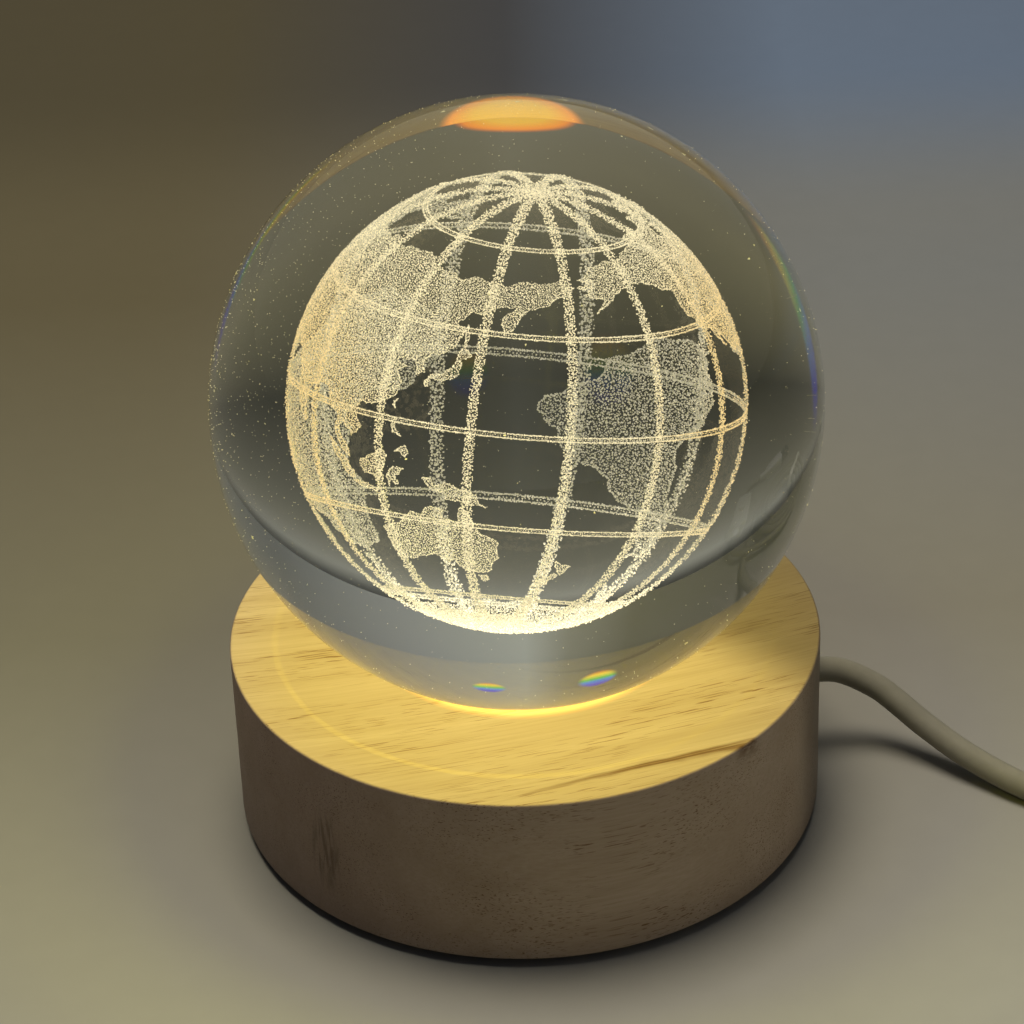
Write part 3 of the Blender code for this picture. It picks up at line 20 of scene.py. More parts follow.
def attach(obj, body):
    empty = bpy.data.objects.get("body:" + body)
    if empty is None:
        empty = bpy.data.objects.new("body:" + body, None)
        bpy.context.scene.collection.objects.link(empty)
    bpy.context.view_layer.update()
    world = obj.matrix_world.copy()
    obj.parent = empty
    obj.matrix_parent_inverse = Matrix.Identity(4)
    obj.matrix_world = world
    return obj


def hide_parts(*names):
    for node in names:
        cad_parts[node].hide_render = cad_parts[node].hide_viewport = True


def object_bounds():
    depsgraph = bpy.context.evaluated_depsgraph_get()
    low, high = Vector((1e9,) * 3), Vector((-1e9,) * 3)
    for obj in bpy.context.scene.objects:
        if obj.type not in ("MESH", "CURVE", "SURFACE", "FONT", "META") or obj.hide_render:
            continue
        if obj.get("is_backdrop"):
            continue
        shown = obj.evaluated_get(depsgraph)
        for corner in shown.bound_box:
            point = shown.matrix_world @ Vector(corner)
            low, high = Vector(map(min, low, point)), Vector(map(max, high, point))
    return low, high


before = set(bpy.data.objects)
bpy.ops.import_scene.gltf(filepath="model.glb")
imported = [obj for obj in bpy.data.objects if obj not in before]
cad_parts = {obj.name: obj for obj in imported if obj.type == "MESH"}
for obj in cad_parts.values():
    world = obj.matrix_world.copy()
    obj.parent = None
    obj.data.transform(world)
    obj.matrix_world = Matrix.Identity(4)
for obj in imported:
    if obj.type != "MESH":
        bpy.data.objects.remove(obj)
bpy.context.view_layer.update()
scene = bpy.context.scene
MM = 0.001
print("frame:", len(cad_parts), "nodes")

# %% [markdown]
# ## Camera
#
# The eye's place, its lens and a small roll were fitted to the outlines of the ball and
# of the base in the photograph. Looking a little down with a long lens keeps the ball
# nearly round and shows the top of the base as an ellipse.

# %% Camera
EYE = Vector((0.0, -381.23, 285.17)) * MM
AIM = Vector((-1.13, 0.0, 44.8)) * MM
LENS = 119.3
ROLL = math.radians(-2.10)


def link(name, data):
    """Put mesh, curve, lamp or camera data into the scene as a named object."""
    made = bpy.data.objects.new(name, data)
    scene.collection.objects.link(made)
    return made


def looks_at(thing, place, target):
    """Put a camera or a lamp somewhere and point it at a target."""
    thing.location = place
    thing.rotation_mode = "QUATERNION"
    thing.rotation_quaternion = (Vector(target) - Vector(place)).to_track_quat("-Z", "Y")


camera = link("camera", bpy.data.cameras.new("camera"))
camera.data.lens = LENS
looks_at(camera, EYE, AIM)
camera.rotation_quaternion = camera.rotation_quaternion @ Quaternion((0, 0, 1), ROLL)
scene.camera = camera
print("camera:", round((AIM - EYE).length / MM), "mm from what it looks at")

# %% [markdown]
# ## Cord
#
# A cord is one fixed length that lies on the table. It leaves the base at the back
# right, comes down to the table, is put away in a two-layer coil, runs into the switch
# and goes on to the plug. The points are those of the CAD route, so the cord lies
# exactly where its solids are. A smooth curve through a few points would bulge between
# them: a centripetal curve keeps close to them, and its many fine points become one
# poly spline with a round bevel.

# %% Route of the cord
CORD_RADIUS = 1.8 * MM
EXIT_ANGLE = math.radians(12.0)
EXIT_OUT = Vector((math.cos(EXIT_ANGLE), math.sin(EXIT_ANGLE), 0))
EXIT_HEIGHT = Vector((0, 0, 11.5 * MM))
EXIT_POINT = EXIT_OUT * 40.0 * MM + EXIT_HEIGHT
JACKET_END = EXIT_OUT * 23.5 * MM + EXIT_HEIGHT
COIL_CENTRE = Vector((106.0, 13.0, 0)) * MM
COIL_INNER = 14.4 * MM
COIL_PITCH = 4.1 * MM
COIL_TURNS = 6.75
COIL_LOW = 2.9 * MM
COIL_STEPS = 48
SWITCH = Vector((117.0, -31.0, 5.55)) * MM
BUSH_IN, BUSH_TIP = 14.8 * MM, 23.8 * MM
PLUG_MOUTH, IN_PLUG = Vector((160.0, -12.0, 3.8)) * MM, 8.7 * MM
LAMP_ROUTE = [(2.0, 0.43, -0.05), (5.0, 0.65, -0.55), (9.9, -0.6, -2.55),
              (12.4, -2.1, -3.95), (16.5, -5.3, -6.3), (22.5, -10.6, -8.4),
              (30.5, -17.0, -9.5), (41.0, -21.8, -9.5), (52.0, -23.5, -9.2)]
SWITCH_ROUTE = [(0, -10.0, 0.1), (0.2, -21.0, 0), (2.2, -32.0, -0.5), (8.0, -38.0, -1.0)]
PLUG_ROUTE = [(3.2, 0.1, -0.3), (11.2, 2.1, -1.2), (17.1, 8.0, -1.7)]
CURVE_STEPS = 10


def smooth_curve(points):
    """Fine points on a centripetal curve. The first and last point only steer its ends."""
    fine = []
    for a, b, c, d in zip(points, points[1:], points[2:], points[3:]):
        knots = [0.0]
        for one, other in ((a, b), (b, c), (c, d)):
            knots.append(knots[-1] + math.sqrt((other - one).length))
        t0, t1, t2, t3 = knots
        for k in range(CURVE_STEPS):
            t = t1 + (t2 - t1) * k / CURVE_STEPS
            ab = a.lerp(b, (t - t0) / (t1 - t0))
            bc = b.lerp(c, (t - t1) / (t2 - t1))
            cd = c.lerp(d, (t - t2) / (t3 - t2))
            abc = ab.lerp(bc, (t - t0) / (t2 - t0))
            bcd = bc.lerp(cd, (t - t1) / (t3 - t1))
            fine.append(abc.lerp(bcd, (t - t1) / (t2 - t1)))
    return fine + [points[-2]]


def coil_point(turns):
    """A point of the coil: inwards on the lower layer, then outwards on the upper."""
    from_reversal = turns - COIL_TURNS / 2
    share = min(1.0, max(0.0, 2 * from_reversal + 0.5))
    radius = COIL_INNER + COIL_PITCH * abs(from_reversal)
    angle = 2 * math.pi * (turns - 0.25)
    height = COIL_LOW + COIL_PITCH * share * share * (3 - 2 * share)
    return COIL_CENTRE + Vector((radius * math.cos(angle), radius * math.sin(angle), height))


def stretch(start, leave, origin, route, arrive, end):
    """A free stretch: straight at both ends, between them by a route in mm from an origin."""
    between = [origin + Vector(p) * MM for p in route]
    return [start] + smooth_curve([start, leave] + between + [arrive, end]) + [end]


# %% Draw the cord
ALONG_X, ALONG_Y = Vector((1, 0, 0)), Vector((0, 1, 0))
TAIL = 2 * CORD_RADIUS
STEP = 0.3 * MM                      # gap between the CAD's stretches
coil_start = coil_point(0) - ALONG_X * TAIL
coil_end = coil_point(COIL_TURNS) - ALONG_Y * TAIL
turn_count = round(COIL_TURNS * COIL_STEPS)
coil = [coil_point(COIL_TURNS * k / turn_count) for k in range(turn_count + 1)]
before = coil_start - ALONG_X * STEP
after = coil_end - ALONG_Y * STEP
leaving = SWITCH + ALONG_X * BUSH_TIP
long_path = (stretch(JACKET_END, EXIT_POINT, EXIT_POINT, LAMP_ROUTE, before - ALONG_X * TAIL,
                     before)
             + [coil_start] + coil + [coil_end]
             + stretch(after, after - ALONG_Y * TAIL, after, SWITCH_ROUTE,
                       SWITCH - ALONG_X * BUSH_TIP, SWITCH - ALONG_X * BUSH_IN))
short_path = stretch(SWITCH + ALONG_X * BUSH_IN, leaving, leaving, PLUG_ROUTE, PLUG_MOUTH,
                     PLUG_MOUTH + ALONG_Y * IN_PLUG)


def cord_curve(name, points):
    """A round cord along some points, and its length."""
    data = bpy.data.curves.new(name, "CURVE")
    data.dimensions = "3D"
    data.bevel_depth = CORD_RADIUS
    data.bevel_resolution = 6
    data.use_fill_caps = True
    spline = data.splines.new("POLY")
    spline.points.add(len(points) - 1)
    for place, point in zip(spline.points, points):
        place.co = (*point, 1.0)
    spline.use_smooth = True
    length = sum((b - a).length for a, b in zip(points, points[1:]))
    print(name, "length", round(length / MM, 1), "mm in", len(points), "points")
    return link(name, data), length


cord_long, long_length = cord_curve("cord_to_switch", long_path)
cord_short, short_length = cord_curve("cord_to_plug", short_path)

# %% [markdown]
# ## Node helpers
#
# A material is a small tree of nodes. One function adds a node with its inputs and
# options, where an input is a number, a colour or another node's output. The short
# functions after it add the nodes that come up most. They add them to the tree that
# their first input is in, its id_data, and hand back the new node's output. Colours are
# written as they look on a screen (sRGB hex) and turned to the linear values that the
# renderer works with. A pattern's scale is written as a size in millimetres: a noise of
# scale 1 / size repeats about once in that size.

# %% Node helpers
MIX_A, MIX_B, MIX_RESULT = 6, 7, 2   # colour sockets of the Mix node


def linear(code):
    """Linear RGBA from an sRGB hex colour."""
    parts = [int(code[k:k + 2], 16) / 255 for k in (1, 3, 5)]
    return (*[p / 12.92 if p <= 0.04045 else ((p + 0.055) / 1.055) ** 2.4 for p in parts], 1.0)


def put(node, inputs):
    """Set a node's inputs to values or hex colours, or link them to other outputs."""
    for key, value in inputs.items():
        if isinstance(value, bpy.types.NodeSocket):
            node.id_data.links.new(value, node.inputs[key])
        else:
            node.inputs[key].default_value = linear(value) if isinstance(value, str) else value


def add(tree, kind, inputs=None, **options):
    """Add a node, set its options, and set or link its inputs."""
    node = tree.nodes.new(kind)
    for key, value in options.items():
        setattr(node, key, value)
    put(node, inputs or {})
    return node


def maths(operation, *values):
    """The result of a Math node."""
    return add(values[0].id_data, "ShaderNodeMath", dict(enumerate(values)),
               operation=operation).outputs[0]


def product(first, *others):
    """All the values multiplied."""
    for other in others:
        first = maths("MULTIPLY", first, other)
    return first


def vectors(operation, *values):
    """The result of a Vector Math node: a vector, or the number of a length or a product."""
    node = add(values[0].id_data, "ShaderNodeVectorMath", dict(enumerate(values)),
               operation=operation)
    return node.outputs["Value" if operation in ("LENGTH", "DOT_PRODUCT") else "Vector"]


def split(vector):
    """The X, Y and Z of a vector."""
    return add(vector.id_data, "ShaderNodeSeparateXYZ", {0: vector}).outputs[:]


def joined(*numbers):
    """A vector of up to three numbers."""
    return add(numbers[0].id_data, "ShaderNodeCombineXYZ", dict(enumerate(numbers))).outputs[0]


def remap(value, low, high, to_low=0.0, to_high=1.0, kind="LINEAR"):
    """Turn the range from low to high into another one, and hold it at both ends."""
    return add(value.id_data, "ShaderNodeMapRange",
               {"Value": value, "From Min": low, "From Max": high, "To Min": to_low,
                "To Max": to_high}, interpolation_type=kind).outputs[0]


def soft(*values):
    """The same, with a smooth start and end."""
    return remap(*values, kind="SMOOTHSTEP")


def mix(factor, first, second):
    """A colour between two others."""
    return add(factor.id_data, "ShaderNodeMix",
               {"Factor": factor, MIX_A: first, MIX_B: second},
               data_type="RGBA").outputs[MIX_RESULT]


def ramp(value, stops):
    """A colour from stops of (place from 0 to 1, sRGB hex)."""
    node = add(value.id_data, "ShaderNodeValToRGB", {0: value})
    steps = node.color_ramp.elements
    while len(steps) < len(stops):
        steps.new(1.0)
    for step, (position, code) in zip(steps, stops):
        step.position = position
        step.color = linear(code)
    return node.outputs[0]


def noise(place, size, detail=2.0, roughness=0.5):
    """A noise whose features have a size in mm, or one size for each axis."""
    sizes = size if isinstance(size, (tuple, list)) else (size, size, size)
    inside = add(place.id_data, "ShaderNodeMapping",
                 {"Vector": place, "Scale": tuple(1 / (s * MM) for s in sizes)}).outputs[0]
    return add(place.id_data, "ShaderNodeTexNoise",
               {"Vector": inside, "Scale": 1.0, "Detail": detail,
                "Roughness": roughness}).outputs["Fac"]


def oval(place, centre, size):
    """Coordinates in which an oval or egg is the unit circle or sphere, and their length."""
    inside = add(place.id_data, "ShaderNodeMapping",
                 {"Vector": place, "Location": centre, "Scale": size},
                 vector_type="TEXTURE").outputs[0]
    return inside, vectors("LENGTH", inside)


def light_patch(place, centre, size):
    """An oval patch of focused light, orange at its rim: how much there is, its colour."""
    reach = oval(place, (*[v * MM for v in centre], 0), (*[v * MM for v in size], 1))[1]
    colour = mix(remap(reach, 0.5, 0.95), "#f6ba22", "#ff7d00")
    return soft(reach, 0.8, 1.0, 1.0, 0.0), colour


def new_material(name, **fixed):
    """A material, its tree, its Principled shader and the Object coordinates."""
    made = bpy.data.materials.new(name)
    made.use_nodes = True
    tree = made.node_tree
    shader = tree.nodes["Principled BSDF"]
    put(shader, {key.replace("_", " "): value for key, value in fixed.items()})
    return made, tree, shader, add(tree, "ShaderNodeTexCoord").outputs["Object"]


# %% [markdown]
# ## Finishes
#
# Each finish starts from what the real part is made of. The glass is optical crown
# glass, ground and polished: nothing on it but a faint smear, with an IOR of 1.52. It
# lets shadow rays through, because a clear ball throws hardly any shadow, and the
# renderer would otherwise treat it as a solid one.

# %% Polished crown glass
glass, tree, shader, place = new_material("polished_crown_glass", Roughness=0.0, IOR=1.52,
                                          Transmission_Weight=1.0)
smear = noise(place, 9, 3.0)
put(shader, {"Base Color": mix(smear, "#f7f9f6", "#fcfdfb")})
through = add(tree, "ShaderNodeBsdfTransparent", {"Color": "#f4f2ea"})
shadow = add(tree, "ShaderNodeLightPath").outputs["Is Shadow Ray"]
either = add(tree, "ShaderNodeMixShader", {0: shadow, 1: shader.outputs[0],
                                           2: through.outputs[0]})
put(tree.nodes["Material Output"], {"Surface": either.outputs[0]})
print("glass:", glass.name)

# %% [markdown]
# The engraved globe is made of micro-cracks that scatter light, with a warm glow,
# because the LEDs shine up through the ball. Each crack throws its light outwards, so
# the near side of the globe is bright and the far side, seen from within, is dim. The
# angle between a face's normal and the way out from the globe's centre tells the two
# apart. Close above the LEDs the cracks glow nearly white. Far out at the sides the
# light has passed more cracks and is more orange. The base colour is dark, so that the
# lamps of the scene don't wash out this glow.

# %% Laser-cracked glass
GLOBE_CENTRE = Vector((0, 0, 61.6)) * MM
GLOBE_RADIUS = 19.6 * MM
GLOW_LOW, GLOW_HIGH = 2.4, 1.12      # near the LEDs and above
cracks, tree, shader, place = new_material("laser_cracked_glass", Roughness=0.9,
                                           Base_Color="#3a3833")
x, y, z = split(place)
way_out = vectors("NORMALIZE", vectors("SUBTRACT", place, GLOBE_CENTRE))
normal = add(tree, "ShaderNodeNewGeometry").outputs["Normal"]
outer_side = soft(vectors("DOT_PRODUCT", way_out, normal), -0.4, 0.3, 0.4, 1.0)
fade = soft(z, 42.5 * MM, 48.0 * MM, GLOW_LOW, GLOW_HIGH)
across = soft(maths("ABSOLUTE", x), 0.6 * GLOBE_RADIUS, 0.98 * GLOBE_RADIUS)
uneven = maths("MULTIPLY_ADD", noise(place, 0.3), 1.5, 0.2)
near_colour = mix(across, "#f8e7b8", "#f2d08c")
put(shader, {"Emission Color": mix(outer_side, "#d8d6cc", near_colour),
             "Emission Strength": product(fade, uneven, outer_side)})
print("cracks:", cracks.name)

# %% [markdown]
# The base is rubberwood, turned on a lathe, fine sanded and left without varnish. It
# shows short brown vessel lines along the grain, faint wider bands, and dots where the
# grain meets the surface end on. One noise that is long along the grain and thin across
# it gives both the lines and the dots, because the pattern fills the solid. The grain
# of this piece runs in a gentle bow, so the pattern's second coordinate is bent by a
# parabola before the noise is read.

# %% Sanded rubberwood
GRAIN_SLOPE = 0.249                  # the grain's rise across the middle of the base
GRAIN_BOW = 1.55                     # how much the slope changes, per metre
wood, tree, shader, place = new_material("sanded_rubberwood", Roughness=0.58)
x, y, z = split(place)
slope = maths("MULTIPLY_ADD", x, -GRAIN_BOW, -GRAIN_SLOPE)
bent = joined(x, maths("MULTIPLY_ADD", x, slope, y), z)
bands = noise(bent, (70, 3.0, 6), 4.0, 0.55)
fibres = noise(bent, (12, 0.4, 0.4), 3.0, 0.6)
vessels = noise(bent, (4.5, 0.17, 0.17), 1.0, 0.4)
patches = noise(bent, (22, 6, 6))
ground = mix(bands, "#b0956a", "#d6bd90")
streaked = mix(remap(fibres, 0.35, 0.7, 0.0, 0.35), ground, "#a88a5a")
vessel_share = product(remap(vessels, 0.62, 0.68, 0.0, 0.85), remap(patches, 0.35, 0.60))
with_vessels = mix(vessel_share, streaked, "#7a5424")

# %% [markdown]
# Two marks make it this piece of wood: a dark vein that crosses the front of the top
# and gets wider to the right, and an old knot in the side at the front left. A vein is
# a narrow range of the distance from a line, and a knot is a narrow ellipsoid whose
# inside is broken up by upright fibres. The side is painted darker and cooler, as the
# shade it stands in, more so at the left. The back of the top is painted darker, as
# shadow: there the ball takes the light of the room away, which this scene's clear
# shadow rays leave out.

# %% Marks and painted shade in the wood
VEIN_SLOPE, VEIN_START = 0.325, -37.3 * MM
VEIN_WAVER = 1.2 * MM
# painted shade: these side colours darken and cool the sides of the base, most at the left
LEFT_SIDE_SHADE, RIGHT_SIDE_SHADE, TOP_UNSHADED = (0.45, 0.43, 0.64, 1), (0.95, 1.0, 1.35, 1), (1, 1, 1, 1)
KNOT_PLACE, KNOT_SIZE = (-27.0, -29.6, 12.0), (3.3, 3.3, 8.0)
SHADE_SLOPE = 0.9                    # the shade reaches further forward at the right
from_vein = maths("SUBTRACT", maths("MULTIPLY_ADD", x, -VEIN_SLOPE, y), VEIN_START)
wavering = maths("MULTIPLY_ADD", noise(place, 6), VEIN_WAVER, from_vein)
off_vein = maths("ABSOLUTE", maths("SUBTRACT", wavering, VEIN_WAVER / 2))
vein_width = remap(x, -4 * MM, 28 * MM, 0.2 * MM, 0.9 * MM)
vein = product(soft(maths("DIVIDE", off_vein, vein_width), 0.3, 1.5, 0.9, 0.0),
               soft(x, -8 * MM, 14 * MM), remap(fibres, 0.3, 0.55, 0.35, 1.0),
               remap(z, 23.5 * MM, 26 * MM))
with_vein = mix(vein, with_vessels, "#6f4a1c")
knot_reach = oval(place, tuple(v * MM for v in KNOT_PLACE), tuple(v * MM for v in KNOT_SIZE))[1]
upright_fibres = noise(place, (0.5, 0.5, 5), 3.0)
knot = product(soft(knot_reach, 0.35, 1.1, 1.0, 0.0),
               remap(upright_fibres, 0.46, 0.6, 0.1, 0.6))
wood_colour = mix(knot, with_vein, "#5c3c16")
behind = maths("MULTIPLY_ADD", x, SHADE_SLOPE, y)
shade = maths("MINIMUM", soft(behind, 10 * MM, 26 * MM, 1.0, 0.4),
              soft(y, 20 * MM, 31 * MM, 1.0, 0.45))
# painted shade on the sides: faces that point less upwards get the side shade
facing = split(add(tree, "ShaderNodeNewGeometry").outputs["Normal"])
side_shade_left_to_right = mix(soft(x, -34 * MM, 14 * MM), LEFT_SIDE_SHADE, RIGHT_SIDE_SHADE)
painted_side_shade = mix(remap(facing[2], 0.3, 0.8), side_shade_left_to_right, TOP_UNSHADED)
grooves = maths("MULTIPLY_ADD", vessel_share, -1.0, fibres)
bump = add(tree, "ShaderNodeBump", {"Strength": 0.25, "Distance": 0.08 * MM, "Height": grooves})
# the wood's colour times the painted side shade and the painted shadow of the ball
wood_colour = vectors("MULTIPLY", vectors("MULTIPLY", wood_colour, painted_side_shade), shade)
put(shader, {"Base Color": wood_colour, "Normal": bump.outputs[0]})

# %% [markdown]
# A glass ball is a strong lens. It gathers the light of the LEDs in a bright ring where
# it lies in the dish, and in a patch on the wood behind it, which shows as a yellow
# ellipse at the top of the ball. A renderer finds such focused light only with very
# many rays, so the wood itself glows a little in those two places.

# %% Focused light on the wood
RING_STRENGTH = 0.9
flat_place = joined(x, y)
ring = soft(vectors("LENGTH", flat_place), 19.8 * MM, 21.6 * MM, 1.0, 0.0)
ring_colour = mix(ring, "#f08a10", "#ffd84a")
patch, patch_colour = light_patch(flat_place, (-0.2, 38.0), (2.9, 8.6))
on_top = remap(z, 25.6 * MM, 26.2 * MM)
light = maths("MULTIPLY_ADD", ring, RING_STRENGTH, patch)
put(shader, {"Emission Color": mix(patch, ring_colour, patch_colour),
             "Emission Strength": product(light, on_top)})
print("wood:", wood.name)

# %% [markdown]
# The plastics, the rubber and the metals are told apart by their gloss and by what
# their surface carries: an injection-moulded part has a fine even spark texture, an
# extruded cord jacket has faint rings from the puller, foam has open cells, rolled
# strip has long scratches. Each is a noise of its own size in the colour, the
# roughness and the bump, so one function makes them from those sizes.

# %% Plain finishes


def plain_finish(name, light, dark, size, rough, depth, longer=(1, 1, 1), **fixed):
    """A finish whose colour, roughness and bump follow one noise of a size in mm."""
    made, tree, shader, place = new_material(name, **fixed)
    texture = noise(place, [size * s for s in longer], 3.0)
    bump = add(tree, "ShaderNodeBump", {"Strength": 0.4, "Distance": depth * MM,
                                        "Height": texture})
    put(shader, {"Base Color": mix(texture, dark, light),
                 "Roughness": remap(texture, 0.0, 1.0, *rough),
                 "Normal": bump.outputs[0]})
    return made


jacket = plain_finish("extruded_pvc_jacket", "#8c8774", "#7e7967", 1.4, (0.38, 0.5), 0.03)
abs_white = plain_finish("moulded_white_abs", "#eceae4", "#dedcd5", 0.5, (0.32, 0.45), 0.02)
soft_white = plain_finish("moulded_soft_pvc", "#e2e1dc", "#d2d1cb", 0.6, (0.42, 0.55), 0.02)
nylon = plain_finish("moulded_natural_nylon", "#e9e6da", "#d9d5c6", 0.8, (0.35, 0.5), 0.02)
foam = plain_finish("closed_cell_foam", "#2c2b2a", "#121212", 0.35, (0.85, 0.98), 0.12)
fibreboard = plain_finish("pressed_black_fibreboard", "#2e2c29", "#171614", 0.6, (0.7, 0.9),
                          0.05, (4, 1, 1))
laminate = plain_finish("white_glass_laminate", "#f1f1ec", "#dfe0d8", 0.9, (0.25, 0.4), 0.01)
ceramic = plain_finish("fired_black_ceramic", "#26262a", "#151517", 0.3, (0.35, 0.5), 0.01)
zinc = plain_finish("zinc_plated_steel", "#c9c9c4", "#a9aaa8", 0.5, (0.22, 0.4), 0.01,
                    Metallic=1.0)
nickel = plain_finish("nickel_plated_strip", "#d5d3cc", "#bab7af", 0.25, (0.16, 0.3), 0.005,
                      (1, 14, 1), Metallic=1.0)
brass = plain_finish("rolled_brass", "#dcb766", "#bd9444", 0.25, (0.2, 0.35), 0.005,
                     (12, 1, 1), Metallic=1.0)
red_pvc = plain_finish("red_pvc_insulation", "#b3221a", "#8f1812", 1.0, (0.35, 0.5), 0.02)
black_pvc = plain_finish("black_pvc_insulation", "#202022", "#111112", 1.0, (0.35, 0.5), 0.02)
print("finishes:", len(bpy.data.materials), "materials so far")

# %% [markdown]
# The window over the LEDs and the LEDs themselves glow. The light that reaches the eye
# here is a warm yellow. The window is clear acrylic whose underside is frosted, so it
# glows evenly, a little more orange towards its rim.

# %% Glowing parts
window, tree, shader, place = new_material("frosted_warm_acrylic", Roughness=0.35,
                                           Base_Color="#f3e6bd", Emission_Strength=0.9)
x, y, _ = split(place)
rim = soft(vectors("LENGTH", joined(x, y)), 9.0 * MM, 15.0 * MM)
middle = mix(noise(place, 3, 1.0), "#ffcf3a", "#ffdf62")
put(shader, {"Emission Color": mix(rim, middle, "#f0a81a")})

phosphor, tree, shader, place = new_material("yellow_phosphor_resin", Roughness=0.3,
                                             Emission_Color="#ffe49a", Emission_Strength=3.0)
put(shader, {"Base Color": mix(noise(place, 0.4), "#f2d24e", "#f8e07a")})
print("glowing:", window.name, "and", phosphor.name)

# %% [markdown]
# ## Floor, surroundings and lamps
#
# The floor is a plain pale tabletop that gets darker behind the lamp, as a table does
# where the light of a window ends. A glass ball has no colour of its own: it shows what
# is around it. So the floor has tones of its own for the rays that come out of the
# glass, and there the ball's patch of light is on it too.

# %% Floor
FLOOR_HALF = 3.0
LEFT_STOPS = [(0.0, "#9a9688"), (0.3, "#78735f"), (0.65, "#625a43")]
RIGHT_STOPS = [(0.0, "#a29f95"), (0.3, "#837e71"), (0.65, "#7b7c79")]
THROUGH_STOPS = [(0.12, "#706c57"), (0.2, "#31312a"), (0.45, "#6a6a5e"), (1.0, "#a9aaa0")]
FAR_STOPS = [(0.15, "#524b38"), (0.5, "#454547"), (0.85, "#6a788b")]
PATCH_DIMS = -0.8                    # the patch's own colour hides that much of the floor
floor_paint, tree, shader, place = new_material("pale_tabletop", Roughness=0.7)
x, y, _ = split(place)
along = remap(y, -50 * MM, 250 * MM)
near_tone = mix(soft(x, -70 * MM, 70 * MM), ramp(along, LEFT_STOPS), ramp(along, RIGHT_STOPS))
far_tone = ramp(remap(x, -80 * MM, 80 * MM), FAR_STOPS)
tone = mix(soft(y, 165 * MM, 235 * MM), near_tone, far_tone)
seen_through = add(tree, "ShaderNodeLightPath").outputs["Is Transmission Ray"]
tone = mix(seen_through, tone, ramp(remap(y, 0.0, 500 * MM), THROUGH_STOPS))
dusty = remap(noise(place, 5, 3.0), 0.0, 1.0, 0.97, 1.03)
patch, patch_colour = light_patch(place, (-1, 40), (7.5, 9.8))
patch_light = product(patch, seen_through)
rest = maths("MULTIPLY_ADD", patch_light, PATCH_DIMS, 1.0)
tone = vectors("MULTIPLY", vectors("MULTIPLY", tone, dusty), rest)
put(shader, {"Base Color": tone, "Emission Color": patch_colour,
             "Emission Strength": patch_light})
floor_mesh = bpy.data.meshes.new("floor")
floor_mesh.from_pydata([(right * FLOOR_HALF, back * FLOOR_HALF, 0) for right, back in
                        ((-1, -1), (1, -1), (1, 1), (-1, 1))], [], [(0, 1, 2, 3)])
floor_mesh.materials.append(floor_paint)
floor = link("floor", floor_mesh)
floor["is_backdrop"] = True

# %% [markdown]
# The world shows the camera, and the rays that pass through the glass or bounce off it,
# a grey that is darker at the sides, while it lights the scene with a plain soft grey.
# Real glass also splits the light of two LEDs into small rainbows low in the ball. This
# renderer bends all colours alike, so the two rainbows are small spots of the
# surroundings that are seen there.

# %% Surroundings
ROOM_STOPS = [(0.0, "#46453a"), (0.3, "#5f5c48"), (0.42, "#7d7b69"), (0.5, "#9c9d91"),
              (0.7, "#84857f"), (1.0, "#525452")]
RAINBOW_STOPS = [(0.0, "#ff5a1e"), (0.25, "#ffe04a"), (0.45, "#5ccf58"), (0.6, "#3f8fe0"),
                 (0.8, "#2018d8")]
GLINTS = [((0.11, 0.44), (0.055, 0.055)), ((-0.21, 0.44), (0.065, 0.085))]
world = bpy.data.worlds.new("studio")
scene.world = world
world.use_nodes = True
tree = world.node_tree
plain = tree.nodes["Background"]
put(plain, {"Color": "#ccdcff", "Strength": 0.06})
x, _, z = split(add(tree, "ShaderNodeTexCoord").outputs["Generated"])
room = ramp(remap(x, -0.7, 0.7), ROOM_STOPS)
path = add(tree, "ShaderNodeLightPath").outputs
flat_ray = joined(x, z)
for centre, size in GLINTS:
    inside, reach = oval(flat_ray, (*centre, 0), (*size, 1))
    share = product(soft(reach, 0.6, 1.0, 1.0, 0.0), path["Is Transmission Ray"])
    order = remap(split(inside)[1], -1.0, 1.0)
    room = mix(share, room, ramp(order, RAINBOW_STOPS))
seen = add(tree, "ShaderNodeBackground", {"Color": room, "Strength": 1.0})
shown = maths("MAXIMUM", maths("MAXIMUM", path["Is Camera Ray"],
                               path["Is Glossy Ray"]), path["Is Transmission Ray"])
either = add(tree, "ShaderNodeMixShader", {0: shown, 1: plain.outputs[0], 2: seen.outputs[0]})
put(tree.nodes["World Output"], {"Surface": either.outputs[0]})
print("surroundings:", len(GLINTS), "small rainbows")

# %% [markdown]
# One large soft lamp hangs high behind the object, as the light of a room does in the
# photograph: the tops are bright and the front of the base is in shade. A second, weak
# one stands in for the bright side of the room. The warm lamp inside the ball is the
# light that the cracks scatter down onto the wood.

# %% Lamps


def hidden_lamp(name, kind, place, power, colour):
    """A lamp that neither the camera nor the glass shows."""
    data = bpy.data.lights.new(name, kind)
    data.energy = power
    data.color = linear(colour)[:3]
    made = link(name, data)
    made.location = place
    made.visible_camera = made.visible_glossy = made.visible_transmission = False
    return made


for name, place, target, size, power, colour in (
        ("room_light", (-0.08, 0.13, 0.90), (0.0, 0.0, 0.02), 0.42, 7.2, "#fffaf2"),
        ("side_light", (0.75, -0.10, 0.35), (0.0, 0.0, 0.03), 0.4, 0.16, "#fff6e8")):
    lamp = hidden_lamp(name, "AREA", place, power, colour)
    looks_at(lamp, place, target)
    lamp.data.size = size
lamp = hidden_lamp("scattered_light", "POINT", (-5.0 * MM, -14.0 * MM, 62.0 * MM), 0.1,
                   "#ffff30")
lamp.data.shadow_soft_size = 12.0 * MM

# %% [markdown]
# ## Glass ball
#
# The ball is a solid sphere, 80 mm across. The CAD ball has few faces, which would show
# as kinks in what the glass bends, so a much finer sphere stands for it. It is turned
# from a half circle, and its rings follow the circle so closely that the outline and
# the picture inside stay smooth.

# %% Turning helpers
SHARP = math.radians(32.0)
MERGE, CAD_MERGE = 0.0005 * MM, 0.002 * MM


